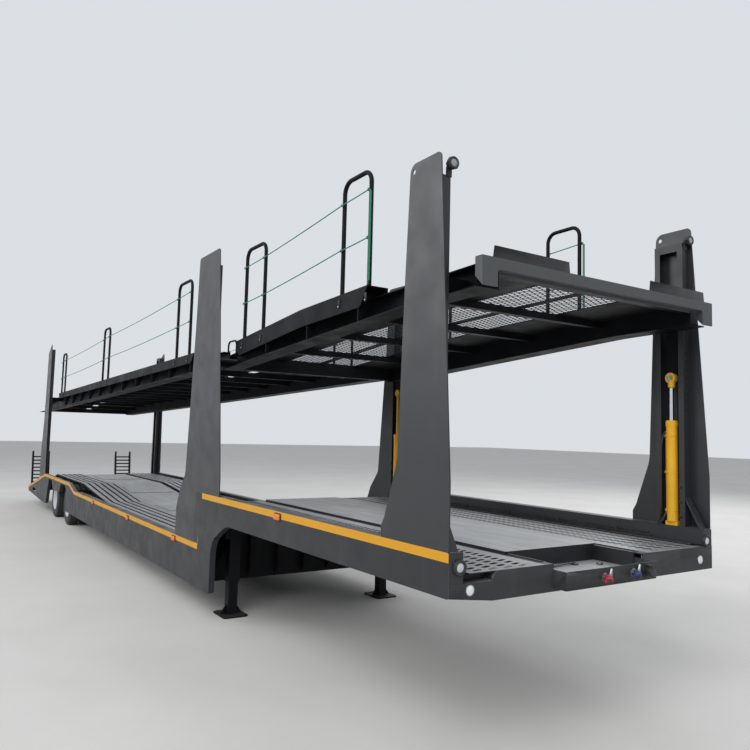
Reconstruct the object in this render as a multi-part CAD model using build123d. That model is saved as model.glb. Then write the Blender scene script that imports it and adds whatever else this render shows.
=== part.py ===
from build123d import *
import os
from math import radians, sin, sqrt, tan

# Two-deck car carrier semi-trailer, parked on its landing legs.
# Millimetres. While it is modelled, x runs forward with 0 at the nose of the gooseneck,
# y runs to the left and z = 0 is the ground. The right side is built and mirrored.
# Before it is written, everything is moved so that the origin is on the ground below
# the middle of the trailer.

# Driving dimensions: whole trailer
WIDTH = 2500.0
HALF = WIDTH / 2
DECK_NOSE = 50.0             # front end of the upper deck's side beams
TAIL_END = -16140.0          # rear edge of the tail
SKIN = 8.0                   # side panel and post plates
SHEET = 6.0                  # folded deck sheets and webs
EDGE_FLANGE = 50.0           # inward flange round each side panel
RUN_GAP = 0.3                # fitted pieces of different bodies

# Levels of the lower deck
NOSE_UNDER = 970.0           # underside of the gooseneck
NOSE_RAIL = 1220.0           # top of the gooseneck's side panel
NOSE_DECK = 1100.0           # top of the gooseneck's wheel tracks
BAY_UNDER = 280.0            # underside of the low bay
BAY_RAIL = 706.0             # top of the low bay's side panel
BAY_DECK = 640.0             # top of the wheel tracks in the low bay
HUMP_DECK = 806.0            # top of the wheel tracks over the wheels
HUMP_RAIL = 820.0            # top of the side panel over the wheels
TAIL_DECK = 372.0            # top of the wheel tracks at the tail's edge
TAIL_RAIL = 390.0            # top of the side panel at the tail's edge

# Stations along the trailer
NECK_TURN = -3230.0          # where the gooseneck's underside turns down
BAY_FRONT = -3600.0          # front edge of the low side panel
STEP = -4090.0               # step between gooseneck and low bay
BAY_DECK_END = -9000.0       # where the tracks start to climb to the hump
HUMP_START = -10430.0        # where the side panel starts to climb
HUMP_TOP = -10950.0
HUMP_END = -13740.0

# Wheels
TYRE_R = 375.0
TYRE_W = 205.0
TWIN_PITCH = 235.0           # from tyre centre to tyre centre
TYRE_FACE = 1180.0           # outer face of the outer tyre, from the middle
RIM_R = 226.0
AXLE_X = (-11420.0, -12770.0)
AXLE_R = 63.0
SPINDLE_R = 40.0
HUB_R = 105.0
DRUM_R = 165.0
SPRING_Y = 470.0             # middle of the leaf springs

# Posts: an outer plate and a lipped channel that opens inward
CHANNEL_IN = 1160.0          # inner face of the channels' lips
CHANNEL_X = 240.0
CHANNEL_MOUTH = 150.0
POST_X = {"front": -265.0, "mid": -3950.0, "rear": -14080.0}
CHANNEL_TOP = {"front": 3400.0, "mid": 3560.0, "rear": 3560.0}

# Upper deck
DECK_HALF = 1130.0
BEAM_IN = DECK_HALF - 185    # inner face of the side beams' webs
BEAM_T = 8.0
UPPER_FLANGE = 80.0          # from the web outward
LOWER_FLANGE = DECK_HALF - 7 - BEAM_IN
HINGE_X = POST_X["mid"]
HINGE_Z = 2560.0
HINGE_R = 45.0
CROSS_W = 60.0               # cross members of all decks
FLOOR_DROP = 30.0            # cross members below the side beams' top
DECK_CROSS_DEPTH = 110.0

# Front lift cylinders
CYL_Y = 1187.0
BARREL_R = 42.0
BARREL_Z = (1250.0, 2020.0)
ROD_R = 18.0
EYE_Z = 2350.0
EYE_R = 42.0
BLOCK_GAP = 0.8              # rod eye to the carriage above it
MID_BARREL_TOP = 1860.0
CARRIAGE_TALL = 320.0        # the mid posts' carriages

# Kingpin
KINGPIN_X = -950.0
KINGPIN_R = 35.7
KINGPIN_NECK_R = 25.4
KINGPIN_DISC = (60.0, 8.0)   # radius and thickness
COUPLER_T = 10.0
COUPLER_PLATE = (-200.0, -1750.0, 640.0, 220.0)     # front x, rear x, half width, corner taper

# Landing legs
LEG_X = -3840.0
LEG_Y = 915.0
LEG_TUBE = 120.0
LEG_Z = (330.0, 985.0)       # the outer tube
LEG_BRACKET_Z = (480.0, 940.0)
LEG_SHAFT_Z = 820.0
FOOT = (320.0, 260.0, 14.0)

# Loading ramps at the tail
RAMP_Y = (790.0, 1190.0)
RAMP_LENGTH = 900.0
RAMP_T = 60.0
RAMP_HINGE = (TAIL_END - 40.0, 330.0)
RAMP_LEAN = 8.0              # the standing ramp leans back
RAMP_PIN_R = 18.0
RUNGS = 9


# Each view's axes: across, up and through
AXES = {"side": (0, 2, 1), "front": (1, 2, 0), "top": (0, 1, 2)}


def spot(view, across, up, through):
    """A point from its places across and up a view and its depth through it."""
    values = [0.0, 0.0, 0.0]
    for axis, value in zip(AXES[view], (across, up, through)):
        values[axis] = value
    return Vector(*values)


def turn(before, here, after, radius):
    """Start, middle and end of the arc that rounds a corner."""
    back = (before - here).normalized()
    on = (after - here).normalized()
    half = radians(back.get_angle(on)) / 2
    reach = radius / tan(half)
    middle = here + (back + on).normalized() * (radius / sin(half) - radius)
    return here + back * reach, middle, here + on * reach


def flat(view, rows, through):
    """A flat face from its corners, each (across, up) or (across, up, rounding radius)."""
    corners = [spot(view, row[0], row[1], through) for row in rows]
    arcs = []
    for i, row in enumerate(rows):
        radius = row[2] if len(row) == 3 else 0
        after = corners[(i + 1) % len(rows)]
        arcs.append(turn(corners[i - 1], corners[i], after, radius) if radius else (corners[i],) * 3)
    edges = []
    for i, (start, middle, stop) in enumerate(arcs):
        edges.append(Edge.make_line(arcs[i - 1][2], start))
        if start != stop:
            edges.append(Edge.make_three_point_arc(start, middle, stop))
    return Face(Wire(edges))


def plate(view, rows, low, high):
    """A flat face thickened from one depth of its view to another."""
    low, high = min(low, high), max(low, high)
    return extrude(flat(view, rows, low), amount=high - low, dir=spot(view, 0, 0, 1))


def slab(x0, x1, y0, y1, z0, z1):
    """A block between two corners."""
    low = (min(x0, x1), min(y0, y1), min(z0, z1))
    size = (abs(x1 - x0), abs(y1 - y0), abs(z1 - z0))
    return Pos(*low) * Box(*size, align=(Align.MIN, Align.MIN, Align.MIN))


def round_x(y, z, radius, x0, x1):
    """A round bar along x."""
    low, high = min(x0, x1), max(x0, x1)
    return Pos((low + high) / 2, y, z) * Rot(0, 90, 0) * Cylinder(radius, high - low)


def round_y(x, z, radius, y0, y1):
    """A round bar along y."""
    low, high = min(y0, y1), max(y0, y1)
    return Pos(x, (low + high) / 2, z) * Rot(90, 0, 0) * Cylinder(radius, high - low)


def round_z(x, y, radius, z0, z1):
    """A round bar along z."""
    return Pos(x, y, (z0 + z1) / 2) * Cylinder(radius, z1 - z0)


def group(pieces):
    """Solids that share a node without being welded together."""
    return Compound([solid for piece in pieces for solid in piece.solids()])


def mirrored(shape):
    """The same piece on the left side."""
    return group([mirror(solid, Plane.XZ) for solid in shape.solids()])


def both(shape):
    """A piece of the right side with its mirror image."""
    return group([shape, mirrored(shape)])


def fused(pieces):
    """Several pieces welded to one."""
    first, *others = pieces
    return first.fuse(*others).clean() if others else first


def height(x, line):
    """Height at x of a side view line, rows of (x, z, rounding radius) from front to rear."""
    for before, here, after in zip(line, line[1:], line[2:]):
        if here[2]:
            corner = Vector(here[0], 0, here[1])
            start, middle, stop = turn(Vector(before[0], 0, before[1]), corner,
                                       Vector(after[0], 0, after[1]), here[2])
            if stop.X < x < start.X:
                inward = (middle - corner).normalized()
                centre = middle + inward * here[2]
                rise = sqrt(here[2] ** 2 - (x - centre.X) ** 2)
                return centre.Z + rise if inward.Z < 0 else centre.Z - rise
    for (xa, za, _), (xb, zb, _) in zip(line, line[1:]):
        if xb <= x <= xa:
            return za + (zb - za) * (x - xa) / (xb - xa)
    return line[0][1] if x > line[0][0] else line[-1][1]


def stretch(line, x_from, x_to):
    """The part of a line between two stations, front to rear."""
    inner = [row for row in line if x_to < row[0] < x_from]
    return [(x_from, height(x_from, line), 0), *inner, (x_to, height(x_to, line), 0)]


def lowered(line, drop):
    """A line moved down."""
    return [(x, z - drop, radius) for x, z, radius in line]


def band(line, drop, depth):
    """A closed outline under a line, from drop below it and depth deep."""
    return lowered(line, drop) + lowered(line, drop + depth)[::-1]


def cross_channel(x, y0, y1, top, depth):
    """A channel along y that opens to the rear, its web's front face at x."""
    rows = [(x, top), (x - CROSS_W, top), (x - CROSS_W, top - SHEET), (x - SHEET, top - SHEET),
            (x - SHEET, top - depth + SHEET), (x - CROSS_W, top - depth + SHEET),
            (x - CROSS_W, top - depth), (x, top - depth)]
    return plate("side", rows, y0, y1)


def outrigger(x, y_in, y_out, top, depth_in, depth_out):
    """A channel along y whose depth tapers towards the side panel."""
    low = [(y_in, top - depth_in), (y_out, top - depth_out)]
    web = plate("front", [(y_in, top), (y_out, top)] + low[::-1], x - SHEET, x)
    upper = slab(x - CROSS_W, x, y_in, y_out, top - SHEET, top)
    raised = [(y, z + SHEET) for y, z in low]
    lower = plate("front", low + raised[::-1], x - CROSS_W, x)
    return fused([web, upper, lower])


# Side view lines, rows of (x, z, rounding radius) from front to rear
def rail_line():
    """The top edge of the side panel from the step to the tail."""
    return [(STEP, BAY_RAIL, 0), (HUMP_START, BAY_RAIL, 600), (HUMP_TOP, HUMP_RAIL, 600),
            (HUMP_END, HUMP_RAIL, 600), (TAIL_END, TAIL_RAIL, 0)]


def deck_line():
    """Top of the wheel tracks from the step to the tail's edge."""
    return [(STEP - SKIN, BAY_DECK, 0), (BAY_DECK_END, BAY_DECK, 0), (HUMP_TOP, HUMP_DECK, 0),
            (HUMP_END, HUMP_DECK, 0), (TAIL_END + TAIL_BEAM[0], TAIL_DECK, 0)]


# Wheel openings in the side panel, rows of (x, z, rounding radius) from front to rear
FRONT_OPENING = ((-11200, BAY_UNDER, 0), (-11200, 660, 60), (-11330, 745, 60), (-11780, 745, 60),
                 (-11950, 570, 30))
REAR_OPENING = ((-12670, 570, 30), (-12820, 745, 60), (-13200, 745, 60), (-13450, 210, 60))
TAIL_UNDER = ((-14060, 210, 400), (TAIL_END + 60, 277, 30))
TAIL_HOLE = (0.29, 0.48, 335.0, 405.0)      # shares of the tail's length, foot z, top z
SILL_IN = 1150.0             # inner edge of the bay's sill
SIDE_LAMPS = ((-2135, 1178), (-4720, 660), (-6700, 660), (-8850, 660))     # x, z
LAMP_SIZE = (115.0, 60.0, 24.0)


def side_panel():
    """The right side panel: a plate with an inward flange round its edge and a wide sill."""
    rail = [(0, NOSE_RAIL, 15), (STEP, NOSE_RAIL, 0)] + rail_line()
    under = list(reversed(FRONT_OPENING + REAR_OPENING + TAIL_UNDER))
    neck = [(BAY_FRONT, BAY_UNDER, 30), (BAY_FRONT, 775, 230), (NECK_TURN, NOSE_UNDER, 400),
            (0, NOSE_UNDER, 15)]
    face = flat("side", rail + under + neck, -HALF)
    inner = offset(face, amount=-SKIN, kind=Kind.INTERSECTION)
    inward = (0, 1, 0)
    panel = extrude(face, amount=SKIN + EDGE_FLANGE, dir=inward)
    panel -= Pos(0, SKIN, 0) * extrude(inner, amount=2 * EDGE_FLANGE, dir=inward)
    tail = HUMP_END - TAIL_END
    near, far, hole_low, hole_top = TAIL_HOLE
    panel -= slab(TAIL_END + near * tail, TAIL_END + far * tail, -HALF - 1, -HALF + SKIN + 1,
                  hole_low, hole_top)
    for x, z in SIDE_LAMPS:
        panel -= side_lamp(x, z)
    x0, x1 = STEP - SKIN, HUMP_START + 200
    sill = slab(x0, x1, -HALF + SKIN, -SILL_IN, BAY_RAIL - SKIN, BAY_RAIL)
    lip = slab(x0, x1, -SILL_IN - SHEET, -SILL_IN, BAY_RAIL - 30, BAY_RAIL - SKIN)
    return fused([panel, sill, lip])


def side_lamp(x, z):
    """A right side marker lamp, flush in the side panel."""
    length, tall, deep = LAMP_SIZE
    return slab(x - length / 2, x + length / 2, -HALF, -HALF + deep, z - tall / 2, z + tall / 2)


# Wheel tracks of the lower deck: folded bars on cross bearers
TRACK_Y = (500.0, 1000.0)
BARS = 5
BAR_W = 70.0
BAR_T = 30.0
BEARER_W = 50.0
BEARER_T = 25.0
BEARER_IN = 446.0
BEARER_PITCH = 700.0


def wheel_track():
    """The right lower track: bars folded from sheet that follow the deck on cross bearers."""
    line = deck_line()
    pitch = (TRACK_Y[1] - TRACK_Y[0] - BAR_W) / (BARS - 1)
    pieces = []
    for i in range(BARS):
        y = -TRACK_Y[0] - i * pitch
        bar = plate("side", band(line, 0, BAR_T), y - BAR_W, y)
        pieces.append(bar - plate("side", band(line, SHEET, BAR_T), y - BAR_W + SHEET, y - SHEET))
    x = line[0][0] - BEARER_W
    while x > TAIL_END + 2 * BEARER_W:
        bearer = band(stretch(line, x, x - BEARER_W), BAR_T, BEARER_T)
        pieces.append(plate("side", bearer, -TRACK_Y[1], -BEARER_IN))
        x -= BEARER_PITCH
    return group(pieces)


CENTRE_HALF = 440.0
CENTRE_DROP = 20.0
STEP_PLATES = ((-5200, 900), (-7600, 900), (-9900, 700), (-12100, 900), (-14300, 600))   # front x, length


def centre_plate():
    """The folded plate between the lower deck's tracks, with raised lengths laid on it."""
    line = deck_line()
    lip = FRAME_DROP - CENTRE_DROP
    tray = plate("side", band(line, CENTRE_DROP, lip), -CENTRE_HALF, CENTRE_HALF)
    tray -= plate("side", band(line, CENTRE_DROP + SHEET, lip), -CENTRE_HALF + SHEET, CENTRE_HALF - SHEET)
    pieces = [tray]
    for x, length in STEP_PLATES:
        raised = band(stretch(line, x, x - length), CENTRE_DROP - SHEET, SHEET)
        pieces.append(plate("side", raised, -CENTRE_HALF + 60, CENTRE_HALF - 60))
    return fused(pieces)


FRAME_WEB = 425.0            # inner face of the frame rails' webs
FRAME_FLANGE = 90.0
FRAME_DROP = 55.0            # top of the frame below the deck's line
FRAME_DEPTH = 110.0
TAIL_DEPTH = 50.0
TAIL_BEAM = (12.0, 60.0)     # from the tail's edge
LOWER_PITCH = 700.0          # between the lower cross members
LOWER_LAST = 300.0           # the last one from the tail's edge, at least
LOWER_CROSS_DROP = 12.0      # cross members below the top of the frame
LOWER_CROSS_DEPTH = 86.0
OUTRIGGER_END = 50.0         # depth at the side panel


def frame_rails():
    """The two channels under the tracks of the low bay, the hump and the tail."""
    line = stretch(deck_line(), STEP - SKIN, TAIL_END + TAIL_BEAM[1])
    upper = lowered(line, FRAME_DROP)
    lower = lowered(upper, FRAME_DEPTH)
    lower[-1] = (upper[-1][0], upper[-1][1] - TAIL_DEPTH, 0)
    edge = -FRAME_WEB - FRAME_FLANGE
    web = plate("side", upper + lower[::-1], -FRAME_WEB - BEAM_T, -FRAME_WEB)
    top = plate("side", band(upper, 0, BEAM_T), edge, -FRAME_WEB)
    foot = plate("side", band(lower, -BEAM_T, BEAM_T), edge, -FRAME_WEB)
    return both(fused([web, top, foot]))


def lower_cross_members():
    """Channels between the rails, tapered outriggers to the side panels, and the tail's beam."""
    line = deck_line()
    reach = HALF - SKIN - EDGE_FLANGE
    top = line[-1][1] - FRAME_DROP
    pieces = [slab(TAIL_END + TAIL_BEAM[0], TAIL_END + TAIL_BEAM[1], -reach, reach,
                   top - TAIL_DEPTH, top)]
    x = STEP - 200
    while x > TAIL_END + LOWER_LAST:
        top = min(height(x, line), height(x - CROSS_W, line)) - FRAME_DROP - LOWER_CROSS_DROP
        pieces.append(cross_channel(x, -FRAME_WEB, FRAME_WEB, top, LOWER_CROSS_DEPTH))
        if not AXLE_X[1] - TYRE_R - 60 < x < AXLE_X[0] + TYRE_R + 60:
            arm = outrigger(x, -FRAME_WEB - FRAME_FLANGE, -HALF + SKIN, top + LOWER_CROSS_DROP,
                            FRAME_DEPTH, OUTRIGGER_END)
            pieces += [arm, mirrored(arm)]
        x -= LOWER_PITCH
    return group(pieces)


RIB_PITCH = 320.0


def step_wall():
    """The wall at the front of the low bay, with its foot flange and ribs."""
    reach = HALF - SKIN - EDGE_FLANGE
    wall = slab(STEP - SKIN, STEP, -reach, reach, BAY_UNDER + 20, NOSE_UNDER + 60)
    foot = slab(STEP - 100, STEP, -reach, reach, BAY_UNDER + 12, BAY_UNDER + 20)
    ribs = [plate("side", [(STEP, BAY_UNDER + 30), (STEP + 70, BAY_UNDER + 120),
                           (STEP + 70, NOSE_UNDER - 60), (STEP, NOSE_UNDER + 10)], y - 4, y + 4)
            for y in (-2 * RIB_PITCH, -RIB_PITCH, 0, RIB_PITCH, 2 * RIB_PITCH)]
    return fused([wall, foot] + ribs)


NOSE_RAIL_Y = (430.0, 540.0)
NOSE_PITCH = 560.0           # between the gooseneck's cross members
BUMPER_BACK = -60.0
NOSE_TRACK_Y = (500.0, 1100.0)
NOSE_CENTRE = 442.0
NOSE_SILL = 1150.0           # inner face of the gooseneck's side rails
PIT_REAR = -400.0
PIT_FLOOR = 990.0
PIT_HALF = 429.0


def gooseneck_rails():
    """The two I-beams of the gooseneck."""
    inner, outer = NOSE_RAIL_Y
    middle = (inner + outer) / 2
    foot, top = NOSE_UNDER + COUPLER_T, NOSE_DECK - SHEET
    beam = fused([slab(BUMPER_BACK, STEP, -inner, -outer, top - BEAM_T, top),
                  slab(BUMPER_BACK, STEP, -inner, -outer, foot, foot + BEAM_T),
                  slab(BUMPER_BACK, STEP, -middle - BEAM_T / 2, -middle + BEAM_T / 2, foot, top)])
    return both(beam)


def gooseneck_cross_members():
    """Channels between the gooseneck's rails and outriggers to the side panels."""
    inner, outer = NOSE_RAIL_Y
    web = (inner + outer - BEAM_T) / 2
    foot, top = NOSE_UNDER + COUPLER_T, NOSE_DECK - SHEET
    pieces = []
    x = BUMPER_BACK - NOSE_PITCH / 2
    while x > STEP + CROSS_W:
        if x < PIT_REAR:
            pieces.append(cross_channel(x, -web, web, top - BEAM_T, top - foot - 2 * BEAM_T))
        arm = cross_channel(x, -HALF + SKIN, -outer, top, 96)
        pieces += [arm, mirrored(arm)]
        x -= NOSE_PITCH
    return group(pieces)


def gooseneck_side_rails():
    """The right folded rail inside the gooseneck's panel, closed by the lamp's plate."""
    inner = slab(0, STEP, -NOSE_SILL, -NOSE_SILL - SHEET, NOSE_DECK + 14, NOSE_RAIL)
    top = slab(0, STEP, -NOSE_SILL, -HALF + SKIN + EDGE_FLANGE, NOSE_RAIL - SKIN, NOSE_RAIL)
    foot = slab(0, STEP, -NOSE_SILL, -NOSE_SILL - 30, NOSE_DECK + 14 - SHEET, NOSE_DECK + 14)
    front = plate("front", [(-NOSE_SILL, BUMPER_TOP), (-NOSE_SILL, NOSE_RAIL), (-HALF, NOSE_RAIL, 12),
                            (-HALF, BUMPER_TOP)], 0, SHEET)
    rail = fused([inner, top, foot, front])
    return both(rail - round_x(*FRONT_LAMP[:2], FRONT_LAMP[2], -1, SHEET + 1))


BUMPER_FOOT = 935.0
BUMPER_TOP = 1045.0          # the ledges at its ends
BUMPER_RISE = 1085.0         # its raised length
BUMPER_RISE_Y = (900.0, 935.0)
CENTRE_FACE_X = 110.0
CENTRE_FACE_Y = 430.0
CENTRE_FACE_Z = (955.0, 1066.0)
FRONT_LAMP = (-1190.0, 1141.0, 34.0)    # y, z, radius


def bumper_outline(inset):
    """Front view of the bumper, rows of (y, z, rounding radius)."""
    low, ledge, rise = BUMPER_FOOT + inset, BUMPER_TOP - inset, BUMPER_RISE - inset
    end, foot, top = HALF - inset, BUMPER_RISE_Y[1] - inset, BUMPER_RISE_Y[0] - inset
    right = [(-end, low, 0), (-end, ledge, 0), (-foot, ledge, 14), (-top, rise, 14)]
    left = [(-y, z, radius) for y, z, radius in reversed(right)]
    return right + left


def front_bumper():
    """The pressed cross beam at the nose with its forward centre plate and return flanges."""
    face = plate("front", bumper_outline(0), 0, SKIN)
    reach = HALF - SKIN - EDGE_FLANGE
    back = plate("front", bumper_outline(0), BUMPER_BACK, 0)
    back -= plate("front", bumper_outline(SKIN), BUMPER_BACK - 1, 1)
    back &= slab(BUMPER_BACK - 2, 2, -reach, reach, BUMPER_FOOT - 1, BUMPER_RISE + 1)
    low, high = CENTRE_FACE_Z
    notch = slab(BUMPER_BACK - 3, SKIN + 1, -CENTRE_FACE_Y, CENTRE_FACE_Y, low + SHEET, BUMPER_RISE + 2)
    pan = slab(BUMPER_BACK, CENTRE_FACE_X, -CENTRE_FACE_Y - SHEET, CENTRE_FACE_Y + SHEET, low, high)
    pan -= slab(BUMPER_BACK - 1, CENTRE_FACE_X - SHEET, -CENTRE_FACE_Y, CENTRE_FACE_Y, low + SHEET, high + 1)
    corners = pan.edges().filter_by(Axis.Z).sort_by(Axis.X)[-2:]
    return fused([face - notch, back - notch, fillet(corners, 5)])


def nose_centre_plate():
    """The raised plate between the gooseneck's tracks, folded down round the pit behind the bumper."""
    top = NOSE_DECK + 12
    y = NOSE_CENTRE
    deck = slab(PIT_REAR, STEP - 30, -y, y, top - SHEET, top)
    lips = [slab(PIT_REAR, STEP - 30, side * y, side * (y - SHEET), NOSE_DECK - SHEET, top)
            for side in (-1, 1)]
    back = slab(PIT_REAR, PIT_REAR + SHEET, -PIT_HALF, PIT_HALF, PIT_FLOOR, top)
    floor = slab(PIT_REAR, BUMPER_BACK, -PIT_HALF, PIT_HALF, PIT_FLOOR, PIT_FLOOR + SHEET)
    walls = [slab(PIT_REAR, BUMPER_BACK, side * PIT_HALF, side * (PIT_HALF - SHEET), PIT_FLOOR, NOSE_DECK)
             for side in (-1, 1)]
    return fused([deck, back, floor] + lips + walls)


def nose_track():
    """The right track plate of the gooseneck with its raised outer hem."""
    inner, outer = NOSE_TRACK_Y
    sheet = slab(BUMPER_BACK, STEP - 30, -inner, -outer, NOSE_DECK - SHEET, NOSE_DECK)
    hem = slab(BUMPER_BACK, STEP - 30, -outer + SHEET, -outer, NOSE_DECK, NOSE_DECK + 12)
    nose = slab(BUMPER_BACK, 0, -inner, -BUMPER_RISE_Y[0] + SKIN, BUMPER_RISE - SKIN, BUMPER_RISE)
    return fused([sheet, hem]) - nose


def coupler_plate():
    """The plate that rests on the tractor, under the gooseneck."""
    front, rear, half, taper = COUPLER_PLATE
    right = [(rear, -half, 40), (front - taper, -half, 60), (front, -half + taper, 40)]
    left = [(x, -y, radius) for x, y, radius in reversed(right)]
    bare = plate("top", right + left, NOSE_UNDER, NOSE_UNDER + COUPLER_T)
    return bare - round_z(KINGPIN_X, 0, KINGPIN_R + RUN_GAP, NOSE_UNDER - 1, NOSE_UNDER + COUPLER_T + 1)


def kingpin():
    """The kingpin: a disc on the coupler plate, shank, neck and foot, by a revolve."""
    disc_r, disc_t = KINGPIN_DISC
    profile = [(0, COUPLER_T + disc_t), (disc_r, COUPLER_T + disc_t), (disc_r, COUPLER_T),
               (KINGPIN_R, COUPLER_T), (KINGPIN_R, -44), (KINGPIN_NECK_R, -44),
               (KINGPIN_NECK_R, -72), (KINGPIN_R, -72), (KINGPIN_R, -84), (0, -84)]
    face = Plane.XZ * make_face(Polyline(*profile, close=True))
    return Pos(KINGPIN_X, 0, NOSE_UNDER) * revolve(face, Axis.Z)


# Couplings on the centre plate: y, z, body radius, length, neck radius
COUPLINGS = ((-90, 1005, 26, 60, 16), (220, 1010, 26, 60, 16), (345, 1012, 34, 48, 30))


def line_couplings():
    """Air line couplings and the lamp socket on the bumper's centre plate."""
    pieces = []
    for y, z, radius, length, neck in COUPLINGS:
        x = CENTRE_FACE_X
        flange = round_x(y, z, radius + 8, x, x + 8)
        pieces.append(fused([flange, round_x(y, z, neck, x + 8, x + length - 16),
                             round_x(y, z, radius, x + length - 16, x + length)]))
    return group(pieces)


# Post plates, rows of (x, z, rounding radius), from the front foot over the top to the rear foot
POST_PLATES = {
    "front": ((0, NOSE_RAIL, 0), (0, 1600, 300), (-125, 3530, 35), (-426, 3530, 60), (-461, 2830, 400),
              (-505, 1700, 300), (-632, 1344, 60), (-665, 1290, 40), (-665, NOSE_RAIL, 0)),
    "mid": ((-3426, NOSE_RAIL, 0), (-3426, 1380, 600), (-3686, 3700, 35), (-4270, 3700, 35),
            (-4310, 2930, 600), (-4440, 1380, 120), (-4607, 1180, 80), (-4690, 1000, 80),
            (-4690, BAY_RAIL, 0), (STEP, BAY_RAIL, 0), (STEP, NOSE_RAIL, 0)),
    "rear": ((-13750, HUMP_RAIL, 0), (-13800, 2000, 0), (-13850, 3600, 30), (-13900, 3670, 20),
             (-14270, 3500, 60), (-14330, 2000, 500), (-14500, 1200, 300), (-14500, 700, 0)),
}
POST_HOLE = (-392.0, 3478.0, 16.0)       # x, z, radius


def post(name):
    """One right post: the outer plate and the lipped channel behind it."""
    sheet = plate("side", POST_PLATES[name], -HALF, -HALF + SKIN)
    x = POST_X[name]
    x0, x1 = x - CHANNEL_X / 2, x + CHANNEL_X / 2
    foot = NOSE_RAIL if name != "rear" else BAY_RAIL
    top = CHANNEL_TOP[name]
    tube = slab(x0, x1, -CHANNEL_IN, -HALF + SKIN, foot, top)
    tube -= slab(x0 + SKIN, x1 - SKIN, -CHANNEL_IN - SKIN, -HALF + 2 * SKIN, foot - 1, top + 1)
    tube -= slab(x - CHANNEL_MOUTH / 2, x + CHANNEL_MOUTH / 2, -CHANNEL_IN + 1,
                 -CHANNEL_IN - SKIN - 1, foot - 1, top - 60)
    cap = slab(x0, x1, -CHANNEL_IN, -HALF + SKIN, top - SHEET, top)
    body = fused([sheet, tube, cap])
    if name == "front":
        body -= round_y(POST_HOLE[0], POST_HOLE[1], POST_HOLE[2], -HALF - 1, -HALF + SKIN + 1)
        brace = [(x1, 1440), (-20, NOSE_RAIL), (-40, NOSE_RAIL), (x1, 1415)]
        body = fused([body, plate("side", brace, -CHANNEL_IN - 5, -CHANNEL_IN - 65)])
    if name == "rear":
        line = stretch(rail_line(), HUMP_TOP, TAIL_END)
        below = line + [(TAIL_END, 0, 0), (HUMP_TOP, 0, 0)]
        body -= plate("side", below, -HALF - 1, -CHANNEL_IN + 10)
    return body


def mid_carriage():
    """The hinge tube across the trailer with its two carriages in the mid posts."""
    bar = round_y(HINGE_X, HINGE_Z, HINGE_R, -CHANNEL_IN - 14, CHANNEL_IN + 14)
    low, high = HINGE_Z - CARRIAGE_TALL / 2, HINGE_Z + CARRIAGE_TALL / 2
    block = plate("side", [(HINGE_X - 90, low, 20), (HINGE_X + 90, low, 20), (HINGE_X + 90, high, 20),
                           (HINGE_X - 90, high, 20)], -CHANNEL_IN - 14, -HALF + SKIN + SKIN + 6)
    collar = round_y(HINGE_X, HINGE_Z, HINGE_R + 18, -CHANNEL_IN - 14, -CHANNEL_IN + 30)
    return fused([bar, block, collar, mirrored(block), mirrored(collar)])


# Upper deck side beams, rows of (x, z, rounding radius): top line and bottom line, front to rear
FRONT_TOP = [(DECK_NOSE, 2879, 0), (-861, 2850, 2500), (-2087, 2800, 2500), (-3483, 2668, 1500),
             (-3840, 2640, 0)]
FRONT_LOW = [(DECK_NOSE, 2709, 0), (-637, 2690, 2500), (-3725, 2480, 400), (-3840, 2478, 0)]
REAR_TOP = [(-4060, 2690, 0), (-14000, 2505, 2500), (-16000, 2340, 0)]
REAR_LOW = [(-4060, 2520, 0), (-13146, 2262, 3000), (-16000, 2190, 0)]

# Carriages in the posts: off the post's middle x, foot z, head z, arm's middle z
CARRIAGES = {
    "front": (15, EYE_Z + EYE_R + BLOCK_GAP, 2750, 2770),
    "rear": (-33, 2380, 2620, 2455),
}

LUG_W = 60.0
FRONT_LUGS = (-780, -200, 380)
REAR_LUGS = (-380, 200, 780)
FRONT_PITCH = 780.0
REAR_PITCH = 795.0
NOSE_BAND = 66.0             # height of the nose beam's face
NOSE_LEG = 120.0             # width of the legs at its ends
STOP_Y = (400.0, 1040.0)     # wheel stops on the nose beam
STOP_TALL = 70.0


def deck_beams(name, top, low):
    """Both side beams of a deck section with the carriages that guide them in their posts."""
    web = plate("side", top + low[::-1], -BEAM_IN - BEAM_T, -BEAM_IN)
    upper = plate("side", band(top, 0, BEAM_T), -BEAM_IN - UPPER_FLANGE, -BEAM_IN)
    lower = plate("side", band(low, -BEAM_T, BEAM_T), -BEAM_IN - LOWER_FLANGE, -BEAM_IN)
    offset_x, z0, z1, arm_z = CARRIAGES[name]
    x = POST_X[name] + offset_x
    block = plate("side", [(x - 45, z0, 0), (x + 45, z0, 0), (x + 45, z1, 15), (x - 45, z1, 15)],
                  -CHANNEL_IN - 14, -HALF + SKIN + SKIN + 6)
    arm = slab(x - 30, x + 30, -BEAM_IN - BEAM_T, -CHANNEL_IN - 15, arm_z - 40, arm_z + 40)
    return both(fused([web, upper, lower, block, arm]))


def cross_stations(top, pitch):
    """The front faces of a deck section's cross members."""
    x_first, x_last = top[0][0], top[-1][0]
    stations = []
    x = x_first
    while x > x_last + pitch / 2:
        stations.append(x)
        x -= pitch
    stations.append(x_last + CROSS_W)
    return stations


def cross_members(top, low, pitch):
    """The cross members of one deck section, from its front to its rear end."""
    pieces = []
    for x in cross_stations(top, pitch):
        high = min(height(x, top), height(x - CROSS_W, top)) - FLOOR_DROP
        foot = max(height(x, low) + BEAM_T, high - DECK_CROSS_DEPTH)
        pieces.append(cross_channel(x, -BEAM_IN, BEAM_IN, high, high - foot))
    return pieces


def end_member(x, y_half, high, depth):
    """A closed box across a deck section's end."""
    box = slab(x - CROSS_W, x, -y_half, y_half, high - depth, high)
    return box - slab(x - CROSS_W + SHEET, x - SHEET, -y_half - 1, y_half + 1,
                      high - depth + SHEET, high - SHEET)


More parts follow.
